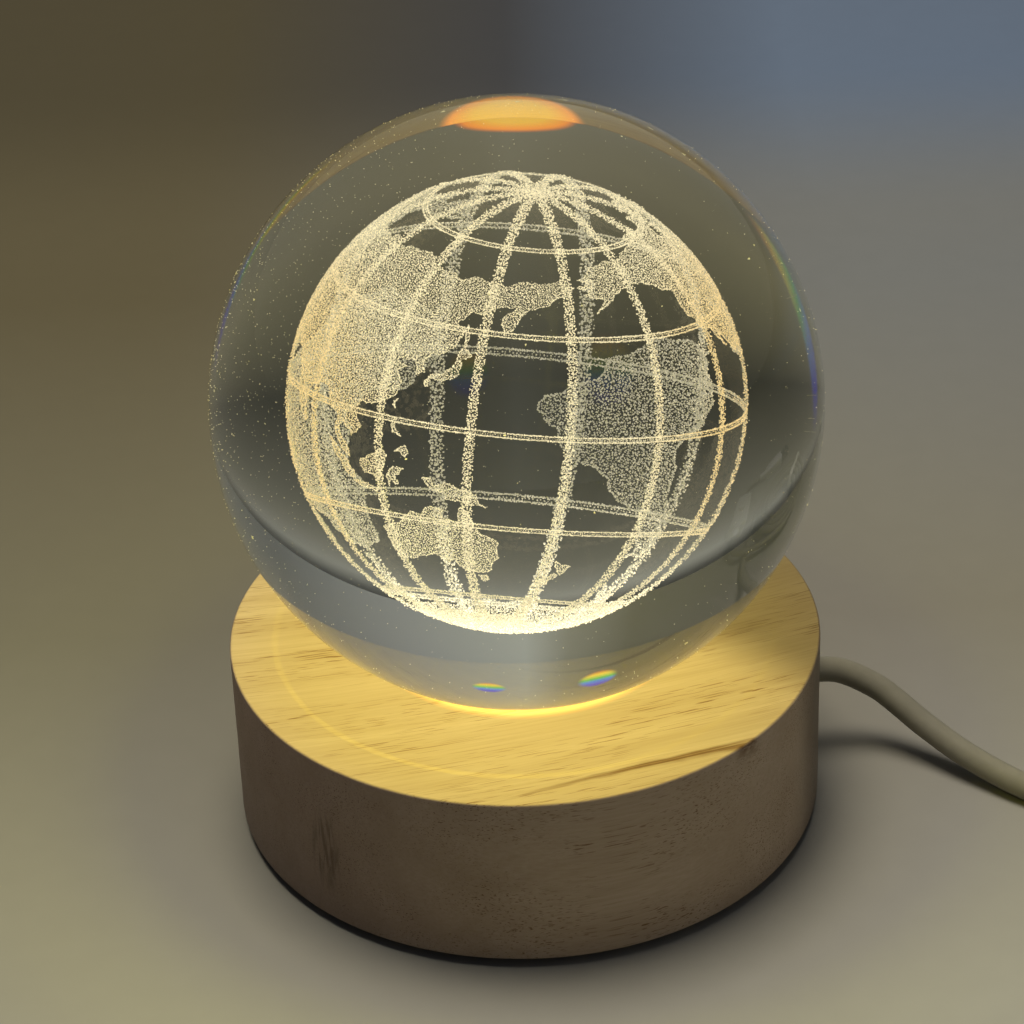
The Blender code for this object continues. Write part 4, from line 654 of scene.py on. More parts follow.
def mesh_object(name, shape, finish):
    """Close a bmesh, point its faces outwards, shade it smooth and link it."""
    bmesh.ops.remove_doubles(shape, verts=shape.verts, dist=MERGE)
    bmesh.ops.recalc_face_normals(shape, faces=shape.faces)
    data = bpy.data.meshes.new(name)
    shape.to_mesh(data)
    shape.free()
    data.shade_smooth()
    data.set_sharp_from_angle(angle=SHARP)
    data.materials.append(finish)
    return link(name, data)


def turned(name, profile, segments, finish, closed=False):
    """Turn a profile of (radius, height) points about Z. An open one ends on the axis."""
    shape = bmesh.new()
    points = [shape.verts.new((radius, 0, height)) for radius, height in profile]
    edges = [shape.edges.new(pair) for pair in zip(points, points[1:])]
    if closed:
        edges.append(shape.edges.new((points[-1], points[0])))
    bmesh.ops.spin(shape, geom=points + edges, cent=(0, 0, 0), axis=(0, 0, 1),
                   angle=2 * math.pi, steps=segments, use_merge=True)
    return mesh_object(name, shape, finish)


def applied(piece):
    """Turn an object's modifiers into plain mesh."""
    piece.update_tag()
    bpy.context.view_layer.update()
    ready = piece.evaluated_get(bpy.context.evaluated_depsgraph_get())
    mesh = bpy.data.meshes.new_from_object(ready)
    piece.modifiers.clear()
    piece.data = mesh
    return piece


def stands_for(piece, body, slot, *nodes):
    """A finished piece rides on a body and hides the nodes it replaces. The slot is not used.
    """
    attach(piece, body)
    if nodes:
        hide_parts(*nodes)
    return piece


# %% Turn the ball
BALL_RADIUS = 40.0 * MM
BALL_Z = 61.6 * MM
BALL_RINGS, BALL_SEGMENTS = 110, 220
circle = [(BALL_RADIUS * math.sin(math.pi * k / BALL_RINGS),
           BALL_Z - BALL_RADIUS * math.cos(math.pi * k / BALL_RINGS))
          for k in range(BALL_RINGS + 1)]
circle[0], circle[-1] = (0, circle[0][1]), (0, circle[-1][1])
ball = turned("glass_ball", circle, BALL_SEGMENTS, glass)
stands_for(ball, "ball", "optical_glass", "crystal_ball")
print("ball:", len(ball.data.polygons), "faces")

# %% [markdown]
# ## Engraved globe
#
# The globe inside is a sphere with 19.6 mm radius, drawn with dots: twelve meridians,
# five parallels, the coasts and the land. Its north pole leans away from the viewer's
# upright, as it does in the photograph. The outlines are simple polygons, listed with
# each corner as degrees east and north: at this size a coast needs no more. A dot
# inside an odd number of outlines is land. Greenland and the other islands close to the
# pole aren't drawn, because the pole is mostly bare on this globe.

# %% Outlines of the land
OUTLINES_TEXT = """
europe_and_asia: -9 37, -9 43, -2 43.5, -1 46, -4.5 48.3, 1.5 50, 4 52, 8 54, 8 57, 10.5 57.5,
  10.5 55, 14 54, 19 54.5, 21 56.5, 24 57.2, 24 59, 30 60, 23 60, 21.5 62, 25 65, 22 65.8,
  17.5 62, 18.5 60, 16.5 57, 14 55.5, 11 59, 7.5 58, 5 61, 10 64, 15 68, 21 70, 28 71, 33 69.3,
  41 67.5, 38 66.2, 33 66.6, 35 64.3, 40 65, 44 66.3, 44 68.4, 54 68.4, 60 69, 68 69, 67 72,
  72 73, 74 70, 80 72.5, 87 75, 98 76.3, 104 77.5, 113 74, 120 73, 128 73, 131 71, 140 72.5,
  152 71, 160 69.6, 170 70, 178 69, 190 66, 187 64.5, 180 63, 178 62.3, 170 60, 163.5 58,
  162.5 56, 160 53, 156.7 51, 155.7 55, 157 58, 163 61.5, 156 61.5, 150 59.5, 143 59.3,
  137 54.5, 141 53, 140 49, 136 44, 131 43, 128 39.5, 129.3 36, 127 34.5, 126.3 37, 125 39.5,
  121.5 39, 122 40.5, 118 39, 119 37.3, 122.3 37, 119.3 35, 121.8 31.5, 121 28, 118 24.5,
  114 22.3, 110 21, 108 21.7, 106 19, 109 13, 107 10.3, 105 8.7, 105 10.5, 101 13, 99.5 11,
  100.4 7.5, 103.4 4.5, 104.2 1.4, 101.5 3, 98.3 8, 98.5 14, 94.5 16, 92 21.5, 89 21.8, 87 21.3,
  80.3 15.5, 79.8 10.5, 77.5 8, 74 15, 72.7 20, 70 21, 67 24.5, 61 25.2, 57 26.8, 51.5 27.8,
  48.5 30, 50 26.5, 51.5 24.5, 56.3 26, 59.8 22.5, 55 17.5, 45 13, 43 13.5, 39 21, 35 28,
  35.5 33.5, 36 36.5, 30 36.3, 27 37.5, 26.5 39.5, 29.5 41, 35 42, 41 41.3, 37.5 44.5, 39 47,
  35 46, 33 45, 31 46.5, 28.5 44, 28 41.5, 26 40.8, 23 40.3, 24 37.8, 22 36.8, 19.5 41, 14 45,
  12.5 45, 14 42.3, 18.5 40.2, 16.2 38, 15.5 40, 12 41.8, 9 44.3, 3.5 43.3, 0 40, -1 37.6,
  -5.5 36.1
caspian: 50 46, 53 46.5, 53 42, 54 37.5, 50 37.5, 49 41, 47.5 43.5
africa: -6 35.8, -2 35, 5 36.8, 10 37.2, 11 33.8, 15 32.3, 20 31, 25 31.6, 32.5 31.2, 35.5 24,
  37.2 20, 39.5 15.5, 43.3 12, 51 11.8, 48 5, 43 0, 39.5 -4.5, 40.5 -10.5, 40.5 -15.5, 35 -20,
  35.5 -24, 32.8 -26, 32 -29, 28 -32.8, 22 -34, 18.5 -34.2, 17 -29.5, 14.5 -22.5, 11.8 -17,
  13.5 -11.5, 12 -5.5, 9 -1, 9.6 3.8, 6 4.3, 2 6.3, -4 5.2, -8 4.4, -13 8.5, -16.8 13,
  -16.5 19.5, -15 24.5, -9.8 31
madagascar: 49.3 -12, 50.4 -15.8, 47.5 -24.8, 44 -25, 43.5 -21.5, 44.5 -16.2
north_america: -168 65.7, -162 66.5, -166 68.4, -156.5 71.3, -141 69.7, -128 70, -115 68.5,
  -108 68, -96 68.5, -94 72, -90 69, -82 69.5, -82 67, -86 66.3, -94 61.5, -94.5 58.8, -92 57,
  -82.3 55.2, -82 52.8, -79 51.3, -79 54.6, -76.5 57, -78 62.5, -73 62, -69.5 59, -65 60,
  -61.5 56.5, -56 52.5, -60 50.2, -66 50.2, -65 48, -61 45.7, -66 44, -70 43.6, -70.5 41.6,
  -74 40.5, -76 37, -76 35, -81 31.8, -80.2 25.4, -82.5 28, -84 30, -89.5 30, -94 29.6,
  -97.3 27, -97.5 22, -95.5 18.6, -91 18.7, -90 21.2, -87 21.5, -88.3 17, -83.4 15.2, -83.7 11,
  -79.5 9.4, -77.4 8.2, -80 7.4, -83 8.3, -86 11.2, -91 13.9, -95 16, -102 17.8, -105.5 20.5,
  -109.4 25.7, -113 31, -109.7 23, -112.3 26.3, -115 30.5, -117.2 32.6, -121 35, -124.2 40.2,
  -124.5 43, -124 47.5, -123 49.2, -130 54.7, -135 58.5, -141 60, -148 60.2, -152 59.2,
  -158 56.4, -164.5 54.6, -158 58.5, -162 59.8, -165.5 62, -161 64, -166 64.5
south_america: -77.4 8.2, -72 12, -68 10.8, -62 10.7, -57 6, -51.5 4.3, -50 0, -44 -2.6, -37 -5,
  -35 -8.5, -39 -14, -39.7 -19.5, -42 -22.9, -48.5 -26.2, -53.5 -33.7, -57 -36.5, -62 -39,
  -65 -42, -65.5 -45, -67.5 -46.3, -66 -48, -69 -51.5, -68.4 -53, -65.3 -54.8, -71 -54.5,
  -74.5 -51, -75.5 -46.7, -73 -42, -73.5 -37.2, -71.5 -30.5, -70.2 -20, -76 -14, -79.8 -7,
  -81.2 -4.5, -80 -2.5, -80 0.8, -77.5 4
australia: 113.7 -22.5, 114.2 -26.5, 115.7 -32, 115 -34.3, 118 -35, 124 -33, 131.2 -31.5,
  135.3 -34.7, 138 -33, 138.3 -35.6, 140.5 -38, 146.3 -39, 150 -37.5, 153 -32, 153.3 -25.5,
  150.8 -23, 146.2 -19, 145.4 -15.5, 142.5 -10.8, 141.6 -14.5, 140.5 -17.6, 136 -15.5,
  136.8 -12.2, 132.6 -11.5, 129.6 -15, 125.7 -14.3, 122.2 -18
tasmania: 144.7 -40.8, 148.3 -40.9, 148 -43, 146 -43.5
new_guinea: 131 -0.8, 134 -0.8, 135 -3.3, 138 -1.8, 141 -2.7, 145 -4.5, 147.7 -6, 148 -8,
  150.8 -10.5, 147 -9.5, 143.5 -8.8, 138 -8, 138 -5.5, 133 -4, 132 -2.7
borneo: 109 1.5, 111.5 2.7, 115 5, 117 7, 119 5, 117.8 1, 116 -4, 110.3 -2.8
sumatra: 95.3 5.6, 98 4.2, 103.5 -0.5, 106 -3.5, 105.7 -5.8, 102 -4, 98.7 0
java: 105.3 -6.8, 108 -6.5, 110.8 -6.5, 114.4 -7.8, 114.3 -8.7, 108 -7.8
sulawesi: 119.4 -5.5, 120.4 -2.8, 121.5 -4.7, 122.8 -4.2, 121.5 -1, 123.2 -0.8, 124.8 1.5,
  120.8 1.2, 119.8 0, 118.9 -2.8
luzon: 120.3 16, 120.7 18.5, 122.2 18.4, 121.5 15.3, 124 12.7, 120.8 13.9
mindanao: 122 7, 123.5 8.6, 125.5 9.8, 126.5 7.3, 125.4 5.8, 124 7.5
taiwan: 120.1 23, 121.5 25.2, 121 22
honshu: 131 34.2, 133 35.5, 136 35.8, 137 37.2, 140 40.8, 141.5 41.3, 142 39.5, 140.8 35.8,
  138.5 34.7, 135.8 33.6, 132.5 34.1
kyushu: 129.8 33, 131.7 33.5, 131.3 31.4, 130.3 31.3
hokkaido: 140 41.8, 141.6 45.4, 145.3 43.4, 143.2 42
sakhalin: 142 46, 142 50, 142.5 54.2, 143.5 50, 143 46.8
new_zealand_north: 172.8 -34.5, 174.8 -36.5, 178.4 -37.7, 177 -39.3, 175.2 -41.5, 173.8 -39.3
new_zealand_south: 172.7 -40.7, 174.2 -41.7, 171 -44, 170.5 -46, 168.5 -46.6, 166.5 -46,
  169.5 -43.5
sri_lanka: 79.8 8, 80.2 9.7, 81.8 7.2, 80.5 6
cuba: -84.8 21.9, -81 23.1, -75 20.8, -77.5 19.9
hispaniola: -74.3 18.5, -71.7 19.8, -68.5 18.6, -71 17.8
baffin: -61.5 66.5, -68 63, -77.5 64.5, -73 68, -85 70, -89.5 73, -80 73.6, -70 70.5
victoria: -116.8 69.5, -105 69, -105 72.8, -118 72.8
antarctica: -180 -78, -150 -77, -120 -74, -100 -73, -75 -72, -68 -68, -58 -63.5, -62 -70,
  -50 -77.5, -30 -76, -15 -72, 0 -70, 30 -69, 50 -67, 70 -68.5, 80 -67.5, 110 -66, 140 -66.5,
  160 -70, 170 -77, 180 -78, 180 -90, -180 -90
"""
OUTLINES = {name: np.array([corner.split() for corner in corners.split(",")], float)
            for name, corners in re.findall(r"(\w+):([^:]+)(?=\n\w|\n$)", OUTLINES_TEXT)}
print("outlines:", len(OUTLINES), "with", sum(map(len, OUTLINES.values())), "corners")

# %% [markdown]
# The globe's axis leans, as that of a school globe does. The three angles are those of
# the CAD's engraved layer: how far north leans from upright, which way, and where the
# first meridian is.
#
# The map isn't a true one. Its land is squeezed from north to south and sits lower
# than the grid says, and the land that shows through from the far side is set by
# angles of its own. So each of the two maps has a squeeze, a shift in degrees and
# three angles.

# %% Axes of the globe
GRID_ANGLES = (21.3, 70.4, 4.0)
NEAR_MAP = {"squeeze": 0.86, "shift": -5.0, "angles": (11.9, 87.9, 21.2)}
FAR_MAP = {"squeeze": 0.74, "shift": -15.0, "angles": (12.0, 115.9, 7.1)}
FAR_LAND = ("south_america", "africa", "madagascar")


def axes(tilt, heading, spin):
    """The turn of a globe whose north leans by tilt degrees towards heading."""
    tilt, heading, spin = (math.radians(a) for a in (tilt, heading, spin))
    return np.array((Matrix.Rotation(heading, 3, "Z") @ Matrix.Rotation(tilt, 3, "Y")
                     @ Matrix.Rotation(spin, 3, "Z")).transposed())


def on_sphere(east, degrees_north, turn):
    """Unit vectors in the scene from degrees east and north on a turned globe."""
    lon = np.radians(np.asarray(east, float))
    lat = np.radians(np.asarray(degrees_north, float))
    local = np.stack([np.cos(lat) * np.cos(lon), np.cos(lat) * np.sin(lon), np.sin(lat)], -1)
    return local @ turn


def place_dots(rows):
    """Points on the engraved sphere from lists of vectors of any length."""
    ways = np.concatenate(rows)
    ways = ways / np.linalg.norm(ways, axis=-1, keepdims=True)
    return np.array(GLOBE_CENTRE) + ways * GLOBE_RADIUS


GRID = axes(*GRID_ANGLES)
print("globe's north:", [round(v, 3) for v in on_sphere(0, 90, GRID).tolist()])

# %% [markdown]
# A meridian is a granular band 1 mm wide, a parallel is 0.6 mm wide with a fine row on
# each edge. Rows are laid out in millimetres beside the line, so they don't crowd
# towards the poles. A coast is rough at every size: each edge of an outline is broken
# in two, twice, and the new corner moves sideways at random. The land is filled by a
# spiral that spreads points evenly over a sphere. The spiral's points come in order
# from north to south, so each edge of an outline has to look only at its own stretch.

# %% Where the dots go
MERIDIANS, PARALLELS = 12, (-60, -30, 0, 30, 60)
DOT_STEP = 0.12 * MM
BAND_ROWS = (-0.4, -0.2, 0.0, 0.2, 0.4)
LATITUDE_ROWS = ((-0.25, 0.9), (-0.2, 0.9), (0.0, 2.2), (0.2, 0.9), (0.25, 0.9))
COAST_STEP = 0.1 * MM
COAST_ROUGHNESS, COAST_BREAKS = 0.16, 2
LAND_DOTS_PER_MM2 = 40.0
SPIRAL_STEP = 222.4922359499         # degrees from one point of the spiral to the next
POLE_GAP = 0.8
CLOSING_EDGE, MAP_EDGE = 60, -84     # edges longer or further south only close outlines
chance = np.random.default_rng(7)


def meridian_dots():
    rows = []
    count = int(math.radians(180 - 2 * POLE_GAP) * GLOBE_RADIUS / DOT_STEP)
    latitudes = np.linspace(-90 + POLE_GAP, 90 - POLE_GAP, count)
    for east in np.arange(MERIDIANS) * 360 / MERIDIANS:
        line = on_sphere(np.full(count, east), latitudes, GRID)
        beside = on_sphere(east + 90, 0, GRID)
        rows += [line * GLOBE_RADIUS + beside * offset * MM for offset in BAND_ROWS]
    return place_dots(rows)


def parallel_dots():
    rows = []
    for degrees in PARALLELS:
        for offset, wider in LATITUDE_ROWS:
            latitude = degrees + math.degrees(offset * MM / GLOBE_RADIUS)
            round_it = 2 * math.pi * math.cos(math.radians(latitude)) * GLOBE_RADIUS
            count = int(round_it / (DOT_STEP * wider))
            east = np.linspace(0, 360, count, endpoint=False)
            rows.append(on_sphere(east, np.full(count, latitude), GRID))
    return place_dots(rows)


def rough(points):
    """The corners of an outline with its edges broken up twice, at random."""
    for _ in range(COAST_BREAKS):
        after = np.roll(points, -1, axis=0)
        edge = after - points
        across = np.stack([-edge[:, 1], edge[:, 0]], -1)
        moved = chance.uniform(-COAST_ROUGHNESS, COAST_ROUGHNESS, (len(points), 1))
        moved = moved * (np.abs(edge[:, :1]) < CLOSING_EDGE)
        points = np.stack([points, (points + after) / 2 + across * moved], 1).reshape(-1, 2)
    return points


def edges_of(outlines):
    """Every edge of some outlines, as two corners."""
    for points in outlines:
        yield from zip(points, np.roll(points, -1, axis=0))


def coast_rows(outlines, chart):
    """Dots along the edges of the outlines on one of the two maps."""
    turn = axes(*chart["angles"])
    rows = []
    for (lon, lat), (lon2, lat2) in edges_of(outlines):
        if min(lat, lat2) < MAP_EDGE or abs(lon - lon2) > CLOSING_EDGE:
            continue
        middle = math.cos(math.radians((lat + lat2) / 2))
        run = math.radians(math.hypot((lon2 - lon) * middle, lat2 - lat)) * GLOBE_RADIUS
        share = np.linspace(0, 1, max(2, round(run / COAST_STEP)), endpoint=False)
        north = (lat + (lat2 - lat) * share) * chart["squeeze"] + chart["shift"]
        rows.append(on_sphere(lon + (lon2 - lon) * share, north, turn))
    return rows


def land_rows(outlines, chart):
    """Evenly spread dots inside an odd number of the outlines."""
    count = int(4 * math.pi * (GLOBE_RADIUS / MM) ** 2 * LAND_DOTS_PER_MM2)
    k = np.arange(count)
    north = np.degrees(np.arcsin(1 - 2 * (k + 0.5) / count))
    true_north = (north - chart["shift"]) / chart["squeeze"]
    east = np.mod(k * SPIRAL_STEP, 360.0) - 180.0
    odd = np.zeros(count, bool)
    for (lon, lat), (lon2, lat2) in edges_of(outlines):
        first, last = np.searchsorted(-true_north, (-max(lat, lat2), -min(lat, lat2)))
        if first < last:
            here = slice(first, last)
            at = lon + (true_north[here] - lat) / (lat2 - lat) * (lon2 - lon)
            odd[here] ^= (east[here] < at) ^ (east[here] + 360 < at)
    return on_sphere(east[odd], north[odd], axes(*chart["angles"]))


near_land = [rough(c) for name, c in OUTLINES.items() if name not in FAR_LAND]
far_land = [rough(OUTLINES[name]) for name in FAR_LAND]
land = place_dots([land_rows(near_land, NEAR_MAP), land_rows(far_land, FAR_MAP)])
coasts = place_dots(coast_rows(near_land, NEAR_MAP) + coast_rows(far_land, FAR_MAP))
print("land:", len(land), "dots, coasts:", len(coasts))

# %% [markdown]
# Thousands of equal dots are a job for Geometry Nodes. Each cloud of points goes
# through one tree: every point is moved a little at random, because the real cracks
# are ragged, and gets a dot, turned and sized at random with a fixed seed. A dot is
# two three-sided pyramids, six faces in all, since it is two pixels wide. The instances
# are realised, because an export drops them. The land has so many dots that two pieces
# share them.

# %% Geometry Nodes tree for dots
ANY_TURN = (6.283, 6.283, 6.283)


def dots_tree():
    tree = bpy.data.node_groups.new("scattered_dots", "GeometryNodeTree")
    for name, kind in (("Geometry", "Geometry"), ("Dot radius", "Float"), ("Jitter", "Float"),
                       ("Smallest share", "Float"), ("Seed", "Int"), ("Finish", "Material")):
        tree.interface.new_socket(name, in_out="INPUT", socket_type="NodeSocket" + kind)
    tree.interface.new_socket("Geometry", in_out="OUTPUT", socket_type="NodeSocketGeometry")
    given = add(tree, "NodeGroupInput").outputs
    less = maths("MULTIPLY", given["Jitter"], -1.0)
    away = add(tree, "FunctionNodeRandomValue",
               {0: less, 1: given["Jitter"], "Seed": given["Seed"]}, data_type="FLOAT_VECTOR")
    moved = add(tree, "GeometryNodeSetPosition", {"Geometry": given["Geometry"],
                                                  "Offset": away.outputs[0]})
    dot = add(tree, "GeometryNodeMeshUVSphere", {"Segments": 3, "Rings": 2,
                                                 "Radius": given["Dot radius"]})
    turn = add(tree, "FunctionNodeRandomValue", {1: ANY_TURN, "Seed": given["Seed"]},
               data_type="FLOAT_VECTOR")
    size = add(tree, "FunctionNodeRandomValue",
               {2: given["Smallest share"], 3: 1.0, "Seed": given["Seed"]}, data_type="FLOAT")
    placed = add(tree, "GeometryNodeInstanceOnPoints",
                 {"Points": moved.outputs[0], "Instance": dot.outputs[0],
                  "Rotation": turn.outputs[0], "Scale": size.outputs[1]})
    real = add(tree, "GeometryNodeRealizeInstances", {0: placed.outputs[0]})
    done = add(tree, "GeometryNodeSetMaterial", {"Geometry": real.outputs[0],
                                                 "Material": given["Finish"]})
    add(tree, "NodeGroupOutput", {0: done.outputs[0]})
    return tree


scatter = dots_tree()


def scattered(name, points, finish, seed, radius, jitter, least):
    """The plain mesh that the tree gives for some points. Radius and jitter are in mm."""
    cloud = bpy.data.meshes.new(name + "_points")
    cloud.from_pydata(points.tolist(), [], [])
    piece = link(name, cloud)
    step = piece.modifiers.new("nodes", "NODES")
    step.node_group = scatter
    given = {"Dot radius": radius * MM, "Jitter": jitter * MM, "Smallest share": least,
             "Seed": seed, "Finish": finish}
    for item in scatter.interface.items_tree:
        if item.in_out == "INPUT" and item.name in given:
            step[item.identifier] = given[item.name]
    applied(piece).data.name = name
    piece.visible_shadow = False
    print(name, len(piece.data.polygons), "faces")
    return piece


# %% Make the dots
FIRST_SEED = 3
LEAST_CRACK = 0.55                   # the smallest crack, as a share of the largest
CLOUDS = [                           # name, points, radius and jitter in mm
    ("engraved_meridians", meridian_dots(), 0.122, 0.15),
    ("engraved_parallels", parallel_dots(), 0.1, 0.045),
    ("engraved_coasts", coasts, 0.1, 0.06),
    ("engraved_land_a", land[0::2], 0.1, 0.08), ("engraved_land_b", land[1::2], 0.1, 0.08),
]
for seed, (name, points, radius, jitter) in enumerate(CLOUDS, FIRST_SEED):
    dots = scattered(name, points, cracks, seed, radius, jitter, LEAST_CRACK)
    stands_for(dots, "ball", "cracked_glass", "engraved_globe")

# %% [markdown]
# A glass ball that stands in a room gathers specks of dust, most of them on one side.
# They are what makes clear glass visible as a surface. The same tree places them just
# outside the ball, and the dish stays free of them. Their faint glow is a painted glint
# of light on the specks.

# %% Dust on the glass, with a painted glint
DUST_COUNT, DUST_LEAST, DUST_SIDE = 14000, 0.1, (-0.72, -0.42, 0.55)
DUST_LOWEST = -0.8                   # the dish covers what lies lower
DUST_SEED, DUST_DOT, LEAST_DUST = 11, 0.08, 0.35
DUST_RADIUS = BALL_RADIUS + 0.02 * MM
# The specks' emission is a painted glint of light on them, not a lamp.
dust_and_glint = plain_finish("settled_dust_and_painted_glint", "#f2e9c6", "#cfc6a2", 0.3, (0.85, 0.95), 0.005,
                    Emission_Color="#d8cc9a", Emission_Strength=0.35)
ways = chance.normal(size=(DUST_COUNT, 3))
ways /= np.linalg.norm(ways, axis=1, keepdims=True)
share = DUST_LEAST + (1 - DUST_LEAST) * np.clip(ways @ np.array(DUST_SIDE), 0, 1) ** 3
ways = ways[(ways[:, 2] > DUST_LOWEST) & (chance.random(DUST_COUNT) < share)]
specks = scattered("dust_specks", np.array(GLOBE_CENTRE) + ways * DUST_RADIUS, dust_and_glint,
                   DUST_SEED, DUST_DOT, 0.0, LEAST_DUST)
stands_for(specks, "ball", "optical_glass")

# %% [markdown]
# ## Wooden base
#
# The base is turned as one piece: a flat top with a dish that has the ball's own
# curve, a light well below it, a wide pocket for the light unit and a ledge for the
# cover. The same section as in the CAD is turned with 240 steps, so the outline has no
# corners. The rim is only broken with sandpaper: a tiny round of 0.35 mm. The bore for
# the cord and the pilot holes of the screws are cut with one Boolean.

# %% Turn the base
BASE_RADIUS, BASE_LOW, BASE_TOP = 40.0 * MM, 1.3 * MM, 26.3 * MM
RIM = 0.35 * MM
DISH_RADIUS = 40.3 * MM
WELL_RADIUS = 15.0 * MM
POCKET_RADIUS, POCKET_TOP = 27.0 * MM, 17.0 * MM
LEDGE_RADIUS, LEDGE_Z = 32.3 * MM, 3.6 * MM
DISH_STEPS, RIM_STEPS, BASE_SEGMENTS = 12, 4, 240
mouth = math.sqrt(DISH_RADIUS ** 2 - (BALL_Z - BASE_TOP) ** 2)
dish = [(r, BALL_Z - math.sqrt(DISH_RADIUS ** 2 - r ** 2))
        for r in np.linspace(mouth, WELL_RADIUS, DISH_STEPS + 1).tolist()]
rim_arc = [(BASE_RADIUS - RIM * (1 - math.sin(a)), BASE_TOP - RIM * (1 - math.cos(a)))
           for a in np.linspace(math.pi / 2, 0, RIM_STEPS + 1).tolist()]
foot_arc = [(r, BASE_LOW + BASE_TOP - z) for r, z in reversed(rim_arc)]
inside = [(WELL_RADIUS, POCKET_TOP), (POCKET_RADIUS, POCKET_TOP), (POCKET_RADIUS, LEDGE_Z),
          (LEDGE_RADIUS, LEDGE_Z), (LEDGE_RADIUS, BASE_LOW)]
base = turned("turned_base", dish + inside + foot_arc + rim_arc, BASE_SEGMENTS, wood,
              closed=True)

# %% Cut the holes
BORE_IN, BORE_OUT, BORE_RADIUS, BORE_SIDES = 26 * MM, 41 * MM, 2.2 * MM, 48
PILOT_HOLES = [(23.3, 16, 23.2, 1.4), (29.65, 2.6, 10.9, 1.3)]  # circle, low, high, radius


def rod(shape, start, end, radius, sides=24):
    """Add a closed rod between two points to a bmesh."""
    along = end - start
    turn = Vector((0, 0, 1)).rotation_difference(along).to_matrix().to_4x4()
    bmesh.ops.create_cone(shape, cap_ends=True, segments=sides, radius1=radius,
                          radius2=radius, depth=along.length,
                          matrix=Matrix.Translation((start + end) / 2) @ turn)


drill = bmesh.new()
rod(drill, EXIT_OUT * BORE_IN + EXIT_HEIGHT, EXIT_OUT * BORE_OUT + EXIT_HEIGHT, BORE_RADIUS,
    BORE_SIDES)
for k in range(3):
    angle = EXIT_ANGLE + math.pi / 3 * (2 * k + 1)
    out = Vector((math.cos(angle), math.sin(angle), 0))
    for circle_radius, low, high, radius in PILOT_HOLES:
        at = out * circle_radius * MM
        rod(drill, at + Vector((0, 0, low * MM)), at + Vector((0, 0, high * MM)), radius * MM)
drills = mesh_object("drills", drill, wood)
cut = base.modifiers.new("holes", "BOOLEAN")
cut.object = drills
cut.operation = "DIFFERENCE"
cut.solver = "EXACT"
applied(base)
bpy.data.objects.remove(drills)
base.data.set_sharp_from_angle(angle=SHARP)
stands_for(base, "lamp", "pale_wood", "wooden_base")
print("base:", len(base.data.polygons), "faces")

# %% [markdown]
# ## Moulded, stamped and die-cut parts
#
# The rest keeps the CAD's shapes, but a real part has no knife edges: light catches on
# every rounded rim. A copy of a CAD node gets its loose triangles merged and its flat
# faces joined, a small bevel on its sharp edges and smooth shading. The sizes of the
# bevels are what such parts have: 0.3 mm on mouldings, less on metal.

# %% Rounded copies
FLAT, BEVEL_STEPS = math.radians(1.0), 2
COPIES = [                           # name, node, body, slot, finish, bevel in mm
    ("foot_pad", "base_pad", "lamp", "black_foam", foam, 0.15),
    ("cover_board", "bottom_cover", "lamp", "black_fibreboard", fibreboard, 0.1),
    ("window_disc", "light_window", "lamp", "clear_acrylic", window, 0.15),
    ("holder_ring", "led_holder", "lamp", "white_plastic", abs_white, 0.2),
    ("jacket_stop", "cord_tie", "lamp", "white_nylon", nylon, 0.12),
    ("coil_band", "coil_tie", "lamp", "white_nylon", nylon, 0.15),
    ("switch_lid", "switch_upper_shell", "lamp", "white_plastic", abs_white, 0.25),
    ("switch_tray", "switch_lower_shell", "lamp", "white_plastic", abs_white, 0.2),
    ("bush_coil_side", "switch_bush_in", "lamp", "soft_plastic", soft_white, 0.2),
    ("bush_plug_side", "switch_bush_out", "lamp", "soft_plastic", soft_white, 0.2),
    ("button_cap", "switch_button", "button", "white_plastic", abs_white, 0.15),
    ("plug_body", "plug_grip", "lamp", "soft_plastic", soft_white, 0.25),
    ("plug_sleeve", "plug_shell", "lamp", "plug_steel", nickel, 0.06),
]


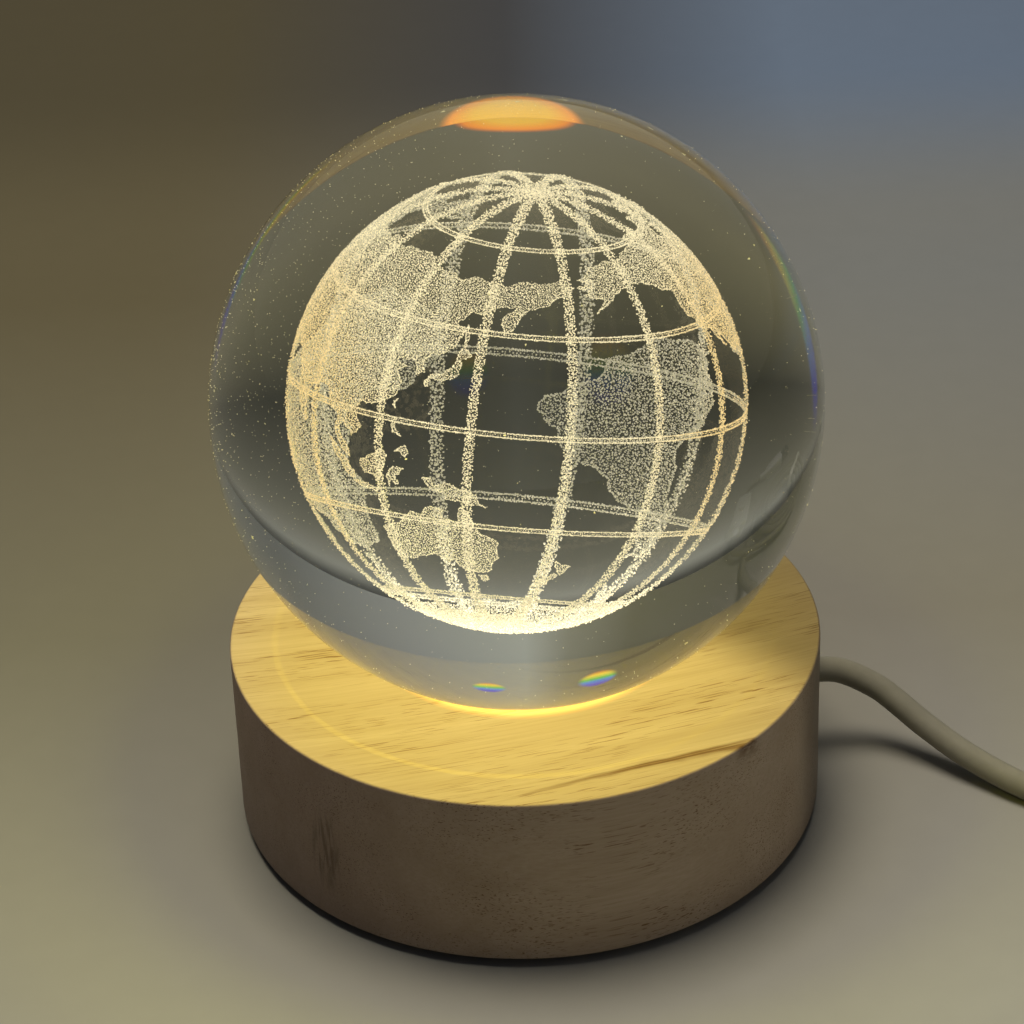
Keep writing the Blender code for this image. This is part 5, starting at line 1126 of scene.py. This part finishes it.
def rounded(name, node, body, slot, finish, width):
    """A merged copy of a CAD node with rounded edges, which stands for it."""
    shape = bmesh.new()
    shape.from_mesh(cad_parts[node].data)
    bmesh.ops.remove_doubles(shape, verts=shape.verts, dist=CAD_MERGE)
    bmesh.ops.dissolve_limit(shape, angle_limit=FLAT, verts=shape.verts, edges=shape.edges,
                             delimit={"NORMAL"})
    data = bpy.data.meshes.new(name)
    shape.to_mesh(data)
    shape.free()
    data.materials.clear()
    data.materials.append(finish)
    data.shade_smooth()
    piece = link(name, data)
    edge = piece.modifiers.new("edges", "BEVEL")
    edge.width = width * MM
    edge.segments = BEVEL_STEPS
    edge.limit_method = "ANGLE"
    edge.angle_limit = SHARP
    edge.miter_outer = "MITER_ARC"
    edge.use_clamp_overlap = True
    applied(piece).data.set_sharp_from_angle(angle=SHARP)
    return stands_for(piece, body, slot, node)


copy = {row[0]: rounded(*row) for row in COPIES}
print("rounded copies:", len(copy))

# %% [markdown]
# ## Finishes of the parts that stay
#
# The small parts inside keep their CAD meshes and only get their finish. Equal parts
# are named once.

# %% Carry-over parts
CARRIED = {
    "cover_screw holder_screw board_screw switch_screw": zinc,
    "led_board plug_tongue": laminate,
    "led": phosphor,
    "resistor": ceramic,
    "lead_red switch_lead_live_in switch_lead_live_out": red_pvc,
    "lead_black switch_lead_return": black_pvc,
    "switch_contact_spring switch_contact_fixed plug_contact": brass,
}
finish_of = {kind: finish for kinds, finish in CARRIED.items() for kind in kinds.split()}
dressed = 0
for name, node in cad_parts.items():
    kind = re.sub(r"_\d$", "", name)       # a number tells equal parts apart
    if kind in finish_of:
        for slot in node.material_slots:
            slot.material = finish_of[kind]
        dressed += 1
print("carried over:", dressed, "nodes")

# %% [markdown]
# ## Cord pieces
#
# Last, the two stretches of cord get the jacket finish and ride on the lamp in place
# of the CAD's cord nodes, which are hidden.

for piece in (cord_long, cord_short):
    piece.data.materials.append(jacket)
stands_for(cord_long, "lamp", "cord_jacket", "cord_lamp", "cord_coil", "cord_switch")
stands_for(cord_short, "lamp", "cord_jacket", "cord_plug")

# %% [markdown]
# ## View and sizes
#
# The picture uses the Standard view, so a colour looks as it is written.

# %% Finish
scene.view_settings.view_transform = "Standard"
low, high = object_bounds()
